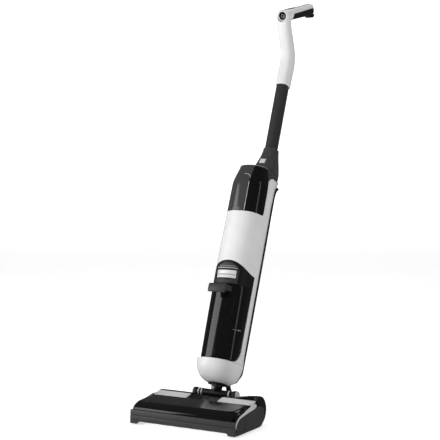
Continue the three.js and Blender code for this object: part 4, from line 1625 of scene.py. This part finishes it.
@dataclass
class Neck:
    """The tilting barrel, its pins and the ribbed hose. Sizes are in millimetres."""

    layout: Layout
    hose_radius: float = 6.4

    def build_hose(self) -> None:
        """The ribbed hose from the head to the cup."""
        route = spline([(26, 27, -8), (25, 28, 2), (19, 28, 12), (15, 25, 24)], 14)
        rings = []
        for index, place in enumerate(route):
            before, after = route[max(0, index - 1)], route[min(len(route) - 1, index + 1)]
            way = (Vector(after) - Vector(before)).normalized()
            side = way.cross(Vector((0, 1, 0))).normalized()
            other = way.cross(side)
            for part in range(2):
                radius = self.hose_radius - (1.1 if (index + part) % 3 == 0 else 0.0)
                shift = Vector(place) + way * 0.4 * part
                ring = []
                for step in range(36):
                    angle = 2 * math.pi * step / 36
                    ring.append(shift + (side * math.cos(angle) + other * math.sin(angle)) * radius)
                rings.append(ring)
        hose = loft("ribbed_hose", rings)
        self.layout.done(
            hose, Finish.RUBBER, "dirty_water_hose", self.layout.body, ["dirty_water_hose"], rides=False
        )
        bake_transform(hose)

    def build(self) -> None:
        """Builds the neck."""
        refined = self.layout.refined
        refined("tilt_barrel", Finish.BLACK_SATIN, 0.8)
        refined("swing_pin", Finish.STEEL, 0.4)
        self.build_hose()
        for side in (-1, 1):
            bands = ((34.0, 9.4), (42.0, 9.4)) if side < 0 else ((36.0, 9.2),)
            for index, (x, radius) in enumerate(bands):
                profile = [
                    (8.4, side * x),
                    (radius, side * (x + 0.5)),
                    (radius, side * (x + 3.0)),
                    (8.4, side * (x + 3.5)),
                ]
                band = turned(
                    f"barrel_band_{index}_{'left' if side < 0 else 'right'}",
                    profile,
                    "x",
                    (0, 0),
                    48,
                    loop=True,
                )
                self.layout.done(band, Finish.SILVER, "tilt_barrel", self.layout.body)


# ---- tanks ---------------------------------------------------------------------------------------
@dataclass
class Tanks:
    """The dirty water tank with its lid, latch and grip, and the clean water tank."""

    layout: Layout
    skin: Skin
    wall: float = 2.0

    def put(self, obj: bpy.types.Object, finish: Finish, node: str, *stands_for: str) -> bpy.types.Object:
        """Places a piece made round the body's axis."""
        return self.layout.done(obj, finish, node, self.layout.body, stands_for)

    def build_dirty_tank(self) -> None:
        """The smoked tank itself, with the ribs down its front."""
        skin = self.skin
        tank = skin.solid("dirty_tank_shell", skin.tank, steps=12)
        combine(tank, skin.bay(0.5, skin.lid), "INTERSECT")
        room = skin.solid("tank_room", skin.tank, self.wall, steps=12)
        combine(room, skin.bay(0.5 + self.wall, skin.lid + 20), "INTERSECT")
        combine(tank, room)
        soften(tank, 0.6, 3, 45)
        self.put(tank, Finish.SMOKED, "dirty_tank", "dirty_tank")
        for index, (x, low, high) in enumerate(((4.0, 80.0, 236.0), (30.0, 172.0, 240.0))):
            rings = []
            for z in (low, low + 2, high - 2, high):
                reach = -0.2 if z in (low, high) else 0.3
                y = -skin.front_at(x, z) - reach
                rings.append(
                    [
                        Vector((x + dx, y + dy + 0.5, z))
                        for dx, dy in ((-1.1, 0.9), (-0.55, -0.3), (0.55, -0.3), (1.1, 0.9))
                    ]
                )
            rib = loft(f"tank_rib_{index}", rings)
            soften(rib, 0.25, 2)
            self.put(rib, Finish.SMOKED, "dirty_tank")
        tick = self.patch("fill_mark", 36.5, 42.5, 147.6, 148.4, 0.25)
        self.put(tick, Finish.MARK, "dirty_tank")
        for index, (x, z, w, h) in enumerate(((44.2, 149.2, 1.2, 3.2), (45.6, 150.0, 0.9, 1.6))):
            dot = self.patch(f"fill_sign_{index}", x - w / 2, x + w / 2, z - h / 2, z + h / 2, 0.25)
            self.put(dot, Finish.MARK, "dirty_tank")
        self.layout.refined("tank_standpipe", Finish.SMOKED, 0.3)
        self.layout.refined("tank_filter", Finish.PILE, 0.6)
        self.layout.refined("float", Finish.GREY_SATIN, 0.5)

    def patch(
        self,
        name: str,
        x0: float,
        x1: float,
        z0: float,
        z1: float,
        rise: float,
        deep: float = 0.8,
        cols: int = 10,
        rows: int = 8,
    ) -> bpy.types.Object:
        """A thin plate laid on the front of the skin.

        Args:
            name: Name of the piece.
            x0: Left edge.
            x1: Right edge.
            z0: Lower edge.
            z1: Upper edge.
            rise: How far it stands out.
            deep: Its thickness.
            cols: Cells across.
            rows: Cells up.

        Returns:
            The new object.
        """
        clear_selection()
        bpy.ops.mesh.primitive_grid_add(x_subdivisions=cols, y_subdivisions=rows, size=2.0)
        obj = bpy.context.object
        obj.name = name
        for vertex in obj.data.vertices:
            x = x0 + (x1 - x0) * (vertex.co.x + 1) / 2
            z = z0 + (z1 - z0) * (vertex.co.y + 1) / 2
            vertex.co = Vector((x, -self.skin.front_at(x, z) - rise, z)) * MM
        modify(obj, "SOLIDIFY", thickness=deep * MM, offset=-1.0)
        merge(obj)
        return obj

    def build_lid(self) -> None:
        """The black lid, its raised plate, the bright latch and the grip."""
        skin = self.skin
        lid = skin.solid("tank_lid_shell", skin.shell[2:4], steps=20)
        combine(lid, skin.bay(0.5, 340.0, skin.lid + 0.4), "INTERSECT")
        combine(lid, block("latch_pocket", (-27.5, -90, 263), (27.5, -47, 293), 0.0))
        soften(lid, 0.7, 3, 45)
        self.put(lid, Finish.BLACK_SATIN, "tank_lid", "tank_lid")
        plate = self.patch("lid_plate", -31, 31, 256, 309, 0.8, 3.0, 30, 24)
        crown = arc((0, 286), 1, 0, 180, 24)[1:-1]
        arch = [(-31.0, 250.0), (31.0, 250.0), (31.0, 286.0), *crown, (-31.0, 286.0)]
        arch = [
            (x * 31 if abs(x) <= 1 else x, 286 + (z - 286) * 20.5 if abs(x) <= 1 else z)
            for x, z in arch
        ]
        combine(plate, prism_y("plate_arch", arch, -95, 0), "INTERSECT")
        combine(plate, block("latch_window", (-27.3, -90, 266), (27.3, -20, 290.4), 0.0))
        soften(plate, 0.5, 3, 45)
        self.put(plate, Finish.GREY_SATIN, "tank_lid")
        for index, z in enumerate((292.6, 297.4)):
            line = self.patch(
                f"lid_line_{index}", -27 + 5 * index, 27 - 5 * index, z, z + 1.1, 1.15, 0.8, 20, 2
            )
            self.put(line, Finish.SILVER if index == 0 else Finish.MARK, "tank_lid")
        upper = self.patch("latch_step_upper", -26, 26, 277.6, 288.0, 0.9, 5.0, 24, 8)
        soften(upper, 1.1, 4, 50)
        self.put(upper, Finish.LATCH, "tank_latch", "tank_latch")
        lower = self.patch("latch_step_lower", -26, 26, 268.6, 276.8, -0.4, 2.4, 24, 8)
        soften(lower, 0.9, 4, 50)
        self.put(lower, Finish.SILVER, "tank_latch")
        self.layout.refined("tank_grip", Finish.GREY_SATIN, 1.3, 30)

    def build_clean_tank(self) -> None:
        """The smoked clean water tank, with a painted reflection in lighter grey over its left part and a
        bright line along that reflection's edge.
        """
        skin = self.skin
        tank = skin.solid("clean_tank_shell", skin.top, steps=5)
        combine(tank, block("tank_back", (-70, skin.split - 0.4, 400), (70, 100, 600)))
        combine(tank, skin.above(0.5), "INTERSECT")
        room = skin.solid("clean_room", skin.top, self.wall, 2.0, 5)
        combine(room, block("room_back", (-70, skin.split - 2.4, 400), (70, 100, 600)))
        combine(tank, room)
        combine(tank, turned("filler_hole", [(9, -17), (9, -10)], "y", (-18, 500), 40))
        soften(tank, 0.6, 3, 40)
        self.put(tank, Finish.SMOKED_TOP, "clean_tank", "clean_tank")
        cap = turned(
            "filler_cap",
            [(8.8, -15.6), (8.8, -13.2), (8.2, -12.5), (3.0, -12.5), (2.6, -13.4), (0.4, -13.4)],
            "y",
            (-18, 500),
            40,
        )
        self.put(cap, Finish.RUBBER, "clean_tank")
        # A thin raised ridge along the painted reflection's edge, painted bright: a real ridge carrying a
        # painted highlight.
        stops = [
            (15.4, 440.4),
            (15.2, 470.0),
            (14.8, 500.0),
            (14.2, 522.0),
            (12.2, 529.6),
            (8.6, 533.2),
            (3.0, 534.8),
            (-4.0, 535.2),
        ]
        rings = []
        line = spline(stops, 6)
        for index, (x, z) in enumerate(line):
            before, after = line[max(0, index - 1)], line[min(len(line) - 1, index + 1)]
            way = Vector((after[0] - before[0], 0, after[1] - before[1])).normalized()
            side = Vector((way.z, 0, -way.x))
            y = -skin.front_at(x, z) - 0.1
            middle = Vector((x, y, z))
            rings.append(
                [
                    middle + side * dx + Vector((0, dy, 0))
                    for dx, dy in ((-0.55, 0.5), (-0.4, -0.3), (0.4, -0.3), (0.55, 0.5))
                ]
            )
        edge = loft("reflection_edge_line", rings)
        self.put(edge, Finish.BRIGHT, "clean_tank")
        rim_rows = [
            superellipse(z, h, f, r)
            for z, h, f, r in (
                (560.9, 38.2, 43.6, 40),
                (562.0, 37.6, 43.0, 40),
                (562.0, 36.6, 42.0, 40),
                (560.9, 36.2, 41.6, 40),
            )
        ]
        rim = loft("top_rim", [*rim_rows, rim_rows[0]], caps=False)
        merge(rim)
        combine(rim, block("rim_back", (-70, skin.split - 0.6, 400), (70, 100, 600)))
        self.put(rim, Finish.MARK, "clean_tank")

    def build(self) -> None:
        """Builds both tanks."""
        self.build_dirty_tank()
        self.build_lid()
        self.build_clean_tank()


# ---- stick ---------------------------------------------------------------------------------------
@dataclass
class Stick:
    """The tube, the handle and its knob, panel and buttons. Sizes are in millimetres."""

    layout: Layout
    tube_y: float = 52.0
    tube_half: float = 15.0
    stem: tuple[Point, ...] = (
        (52, 814), (53, 846), (54, 872), (49, 898), (34, 922), (16, 944), (2, 964), (-7, 981)
    )
    grip_front: Point = (-16.0, 981.0)
    grip_angle: float = math.radians(33)
    grip_length: float = 162.0

    def put(self, obj: bpy.types.Object, finish: Finish, node: str, *stands_for: str) -> bpy.types.Object:
        """Places a piece made round the body's axis."""
        return self.layout.done(obj, finish, node, self.layout.body, stands_for)

    def along(self, u: float, v: float) -> Point:
        """A place in side view, u along the grip and v above its middle line."""
        c, s = math.cos(self.grip_angle), math.sin(self.grip_angle)
        return (self.grip_front[0] + u * c - v * s, self.grip_front[1] + u * s + v * c)

    def to_grip(self, obj: bpy.types.Object, turn: float = 0.0) -> bpy.types.Object:
        """Moves a piece made on the grip's own axes (u along Y, v along Z) on to the grip."""
        place = Vector((0, self.grip_front[0], self.grip_front[1])) * MM
        self.layout.fit(obj, Matrix.Translation(place) @ Matrix.Rotation(self.grip_angle + turn, 4, "X"))
        return obj

    def build_tube(self) -> None:
        """The tube: a grey front, a black back and a bright line between them."""
        y, half = self.tube_y, self.tube_half
        tube = loft(
            "tube_front", [superellipse(z, half, half, half, 3, y, 64) for z in (582, 583, 841, 842)]
        )
        rear = duplicate(tube, "tube_rear")
        combine(tube, block("front_cut", (-30, y + 5.6, 500), (30, y + 40, 900)))
        combine(rear, block("rear_cut", (-30, y - 40, 500), (30, y + 7.2, 900)))
        soften(tube, 0.5, 2, 50)
        soften(rear, 0.5, 2, 50)
        self.put(tube, Finish.TUBE, "stick_tube", "stick_tube")
        self.put(rear, Finish.BLACK_SATIN, "stick_tube")
        line = loft(
            "tube_line",
            [superellipse(z, half - 0.35, half - 0.4, half - 0.4, 3, y, 64) for z in (584, 840)]
        )
        combine(line, block("line_cut", (-30, y + 5.7, 500), (30, y + 7.1, 900)), "INTERSECT")
        self.put(line, Finish.BRIGHT, "stick_tube")

    def build_handle(self) -> None:
        """The white handle with its black underside."""
        line = spline([self.stem[0], *self.stem[1:], (-10.5, 988.0)], 6)
        rings = []
        for index, (y, z) in enumerate(line):
            before, after = line[max(0, index - 1)], line[min(len(line) - 1, index + 1)]
            part = max(0.0, min(1.0, (z - 872) / 100))
            rings.append(
                cross_section(
                    (y, z),
                    (after[0] - before[0], after[1] - before[1]),
                    17.5 - 1.0 * part,
                    18.5 - 3.5 * part,
                    3.0,
                    56,
                )
            )
        whole = loft("handle_front", rings)
        stations = [
            (0.4, 14.4, 14.4),
            (1.6, 15.4, 15.2),
            (6, 16.6, 15),
            (40, 17, 15),
            (120, 17, 15),
            (150, 16.4, 15.8),
            (158, 15.2, 15.2),
            (161, 13, 12.6),
            (162, 11, 10.6),
        ]
        direction = (math.cos(self.grip_angle), math.sin(self.grip_angle))
        rings = [
            cross_section(self.along(u, 0), direction, half, deep, 3.0, 56)
            for u, half, deep in spline(stations, 4)
        ]
        combine(whole, loft("grip", rings), "UNION")
        modify(whole, "REMESH", mode="VOXEL", voxel_size=1.0 * MM, adaptivity=0.0)
        modify(whole, "SMOOTH", factor=0.5, iterations=6)
        seat = turned("knob_seat", [(14.9, -40), (14.9, 8.5)], "y", (0, 0), 60)
        combine(whole, self.to_grip(seat))
        pocket = self.pill("panel_seat", 10.4, 10.6, 20)
        combine(whole, pocket)
        seat = [superellipse(z, 15.3, 15.3, 15.3, 3, self.tube_y, 48) for z in (800, 843)]
        combine(whole, loft("tube_seat", seat))
        rear = duplicate(whole, "handle_rear")
        for obj, gap, how in ((whole, 0.0, "DIFFERENCE"), (rear, 0.5, "INTERSECT")):
            combine(obj, self.dark_side(gap), how)
            soften(obj, 0.5, 2, 50)
        self.put(whole, Finish.WHITE, "handle_front_shell", "handle_front_shell")
        self.put(rear, Finish.BLACK_SATIN, "handle_rear_shell", "handle_rear_shell")
        hook_line = [
            self.along(u, v)
            for u, v in (
                (138, -13), (170, -13), (171.5, -16), (170, -18), (164, -21.6), (157, -21.8), (150, -18)
            )
        ]
        hook = prism_x("hanging_hook", hook_line, -10, 10)
        soften(hook, 1.4, 4, 20)
        self.put(hook, Finish.BLACK_SATIN, "handle_rear_shell")

    def dark_side(self, gap: float) -> bpy.types.Object:
        """Everything behind the stem's rear line and below the grip's middle line."""
        rear = [(y + 9 + gap, z) for y, z in spline(self.stem, 6)[:-8]]
        rear[0] = (rear[0][0], rear[0][1] - 30)
        outline = [
            *rear,
            self.along(34, 1 - gap),
            self.along(self.grip_length + 20, 5 - gap),
            (260, 1100),
            (260, 760),
        ]
        return prism_x("dark_side", outline, -40, 40)

    def pill(
        self, name: str, radius: float, low: float, high: float, u0: float = 13.0, u1: float = 78.0
    ) -> bpy.types.Object:
        """An oval plate on the grip's top.

        Args:
            name: Name of the piece.
            radius: Half width.
            low: Underside over the grip's middle line.
            high: Top side.
            u0: Front end along the grip.
            u1: Rear end.

        Returns:
            The new object.
        """
        ring = [
            (x, y)
            for x, y in arc((0, u1 - 10), radius, 0, 180, 20) + arc((0, u0 + 10), radius, 180, 360, 20)
        ]
        obj = loft(name, [[Vector((x, y, z)) for x, y in ring] for z in (low, high)])
        return self.to_grip(obj)

    def build_controls(self) -> None:
        """The knob at the front of the grip and the panel with its buttons on top."""
        ring_profile = [(10.6, -1.4), (13.4, -1.4), (14.2, -0.9), (14.5, 0.2), (14.5, 6.8), (10.6, 6.8)]
        ring = turned("knob_ring", ring_profile, "y", (0, 0), 72, loop=True)
        self.put(self.to_grip(ring), Finish.SILVER, "knob_bezel", "knob_bezel")
        knob_profile = [
            (0.5, 0.2), (6.0, 0.0), (8.6, -0.5), (9.6, -0.7), (10.0, 0.0), (10.0, 5.8), (0.5, 5.8)
        ]
        knob = turned("power_key", knob_profile, "y", (0, 0), 72)
        self.put(self.to_grip(knob), Finish.BLACK_GLOSS, "power_knob", "power_knob")
        mark = turned(
            "power_mark",
            [(3.2, -0.15), (3.2, 0.3), (4.2, 0.3), (4.2, -0.2)],
            "y",
            (0, 0),
            48,
            loop=True,
        )
        self.put(self.to_grip(mark), Finish.MARK, "power_knob")
        panel = self.pill("panel_lens", 9.8, 11.0, 14.2)
        soften(panel, 0.6, 3, 40)
        self.put(panel, Finish.LENS, "control_panel", "control_panel")
        for u, node in ((30.0, "mode_button"), (56.0, "self_clean_button")):
            profile = [
                (0.4, 14.5),
                (4.6, 14.4),
                (5.4, 14.7),
                (5.9, 14.4),
                (6.0, 13.8),
                (6.0, 12.8),
                (0.4, 12.8),
            ]
            button = turned(node + "_key", profile, "z", (0, u), 48)
            self.put(self.to_grip(button), Finish.GREY_SATIN, node, node)
        for index in range(3):
            dot = turned(
                f"panel_light_{index}",
                [(0.8, 14.1), (0.8, 14.3), (0.5, 14.42), (0.1, 14.42)],
                "z",
                (-3 + 3 * index, 70),
                24,
            )
            self.put(self.to_grip(dot), Finish.MARK, "control_panel")

    def build(self) -> None:
        """Builds the stick."""
        self.build_tube()
        self.build_handle()
        self.build_controls()


# ---- studio --------------------------------------------------------------------------------------
@dataclass
class Studio:
    """A plain pale floor, soft lights and the camera."""

    eye: tuple[float, float, float] = (1.3899, -2.2537, 0.6321)
    pitch: float = math.radians(86.63)
    heading: float = math.radians(29.77)
    lens: float = 97.2
    room: float = 0.06

    def light(
        self,
        name: str,
        place: Sequence[float],
        aim: Sequence[float],
        size: Point,
        power: float,
        mirrored: bool = True,
    ) -> None:
        """Adds a soft area light that looks at a place.

        Args:
            name: Name of the light.
            place: Where it stands.
            aim: What it looks at.
            size: Width and height.
            power: Watts.
            mirrored: Whether glossy surfaces show its reflection.
        """
        lamp = bpy.data.lights.new(name, "AREA")
        lamp.shape = "RECTANGLE"
        lamp.size, lamp.size_y = size
        lamp.energy = power
        obj = bpy.data.objects.new(name, lamp)
        bpy.context.collection.objects.link(obj)
        obj.visible_glossy = mirrored
        obj.location = place
        obj.rotation_euler = (Vector(aim) - Vector(place)).to_track_quat("-Z", "Y").to_euler()

    def build(self) -> None:
        """Sets up the studio."""
        clear_selection()
        bpy.ops.mesh.primitive_plane_add(size=1.0)
        floor = bpy.context.object
        floor.name = "floor"
        for vertex in floor.data.vertices:
            vertex.co = Vector((vertex.co.x * 60, vertex.co.y * 60 + 15, -0.0005))
        dress(floor, Finish.FLOOR)
        floor.visible_glossy = False  # so that its glow doesn't veil the black surfaces
        floor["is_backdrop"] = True
        bpy.ops.mesh.primitive_plane_add(size=1.0)
        backdrop = bpy.context.object
        backdrop.name = "backdrop"
        across = Vector((math.cos(self.heading), math.sin(self.heading), 0))
        away = Vector((-math.sin(self.heading), math.cos(self.heading), 0))
        for vertex in backdrop.data.vertices:
            vertex.co = away * 7 + across * vertex.co.x * 12 + Vector((0, 0, 2.4 + vertex.co.y * 5))
        dress(backdrop, Finish.BACKDROP)
        backdrop.visible_glossy = False
        backdrop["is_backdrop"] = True
        world = bpy.data.worlds.new("studio_white")
        world.use_nodes = True
        world.node_tree.nodes["Background"].inputs["Color"].default_value = (1.0, 1.0, 1.0, 1.0)
        world.node_tree.nodes["Background"].inputs["Strength"].default_value = self.room
        scene = bpy.context.scene
        scene.world = world
        scene.view_settings.view_transform = "Standard"
        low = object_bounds()[0]
        self.light("key_left", (-1.9, -2.7, 1.5), (0, 0, 0.5), (2.6, 3.0), 60, False)
        self.light("sheen_left", (-2.3, -2.3, 1.2), (0, 0, 0.5), (1.5, 2.6), 22)
        self.light("fill_right", (2.8, -0.7, 1.4), (0, 0, 0.5), (2.4, 3.0), 9, False)
        self.light("sheen_right", (2.9, 0.2, 1.2), (0, 0, 0.5), (0.5, 2.4), 2.4)
        self.light("top", (0.0, 0.0, 3.2), (0, 0, 0), (3.0, 3.0), 46, False)
        self.light("sheen_top", (0.3, 1.6, 2.4), (0, 0, 0), (2.4, 0.5), 5)
        lens = bpy.data.cameras.new("camera")
        lens.lens = self.lens
        lens.sensor_width = 36.0
        camera = bpy.data.objects.new("camera", lens)
        bpy.context.collection.objects.link(camera)
        camera.location = (self.eye[0], low[1] + self.eye[1], self.eye[2])
        camera.rotation_euler = (self.pitch, 0.0, self.heading)
        scene.camera = camera


def main() -> None:
    """Builds the washer, piece by piece, and the studio round it."""
    logging.basicConfig(level=logging.INFO, format="%(message)s")
    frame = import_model()
    layout = Layout(frame)
    skin = Skin()
    Head(layout).build()
    Neck(layout).build()
    MainBody(layout, skin).build()
    Tanks(layout, skin).build()
    Stick(layout).build()
    Studio().build()


if __name__ == "__main__":
    main()
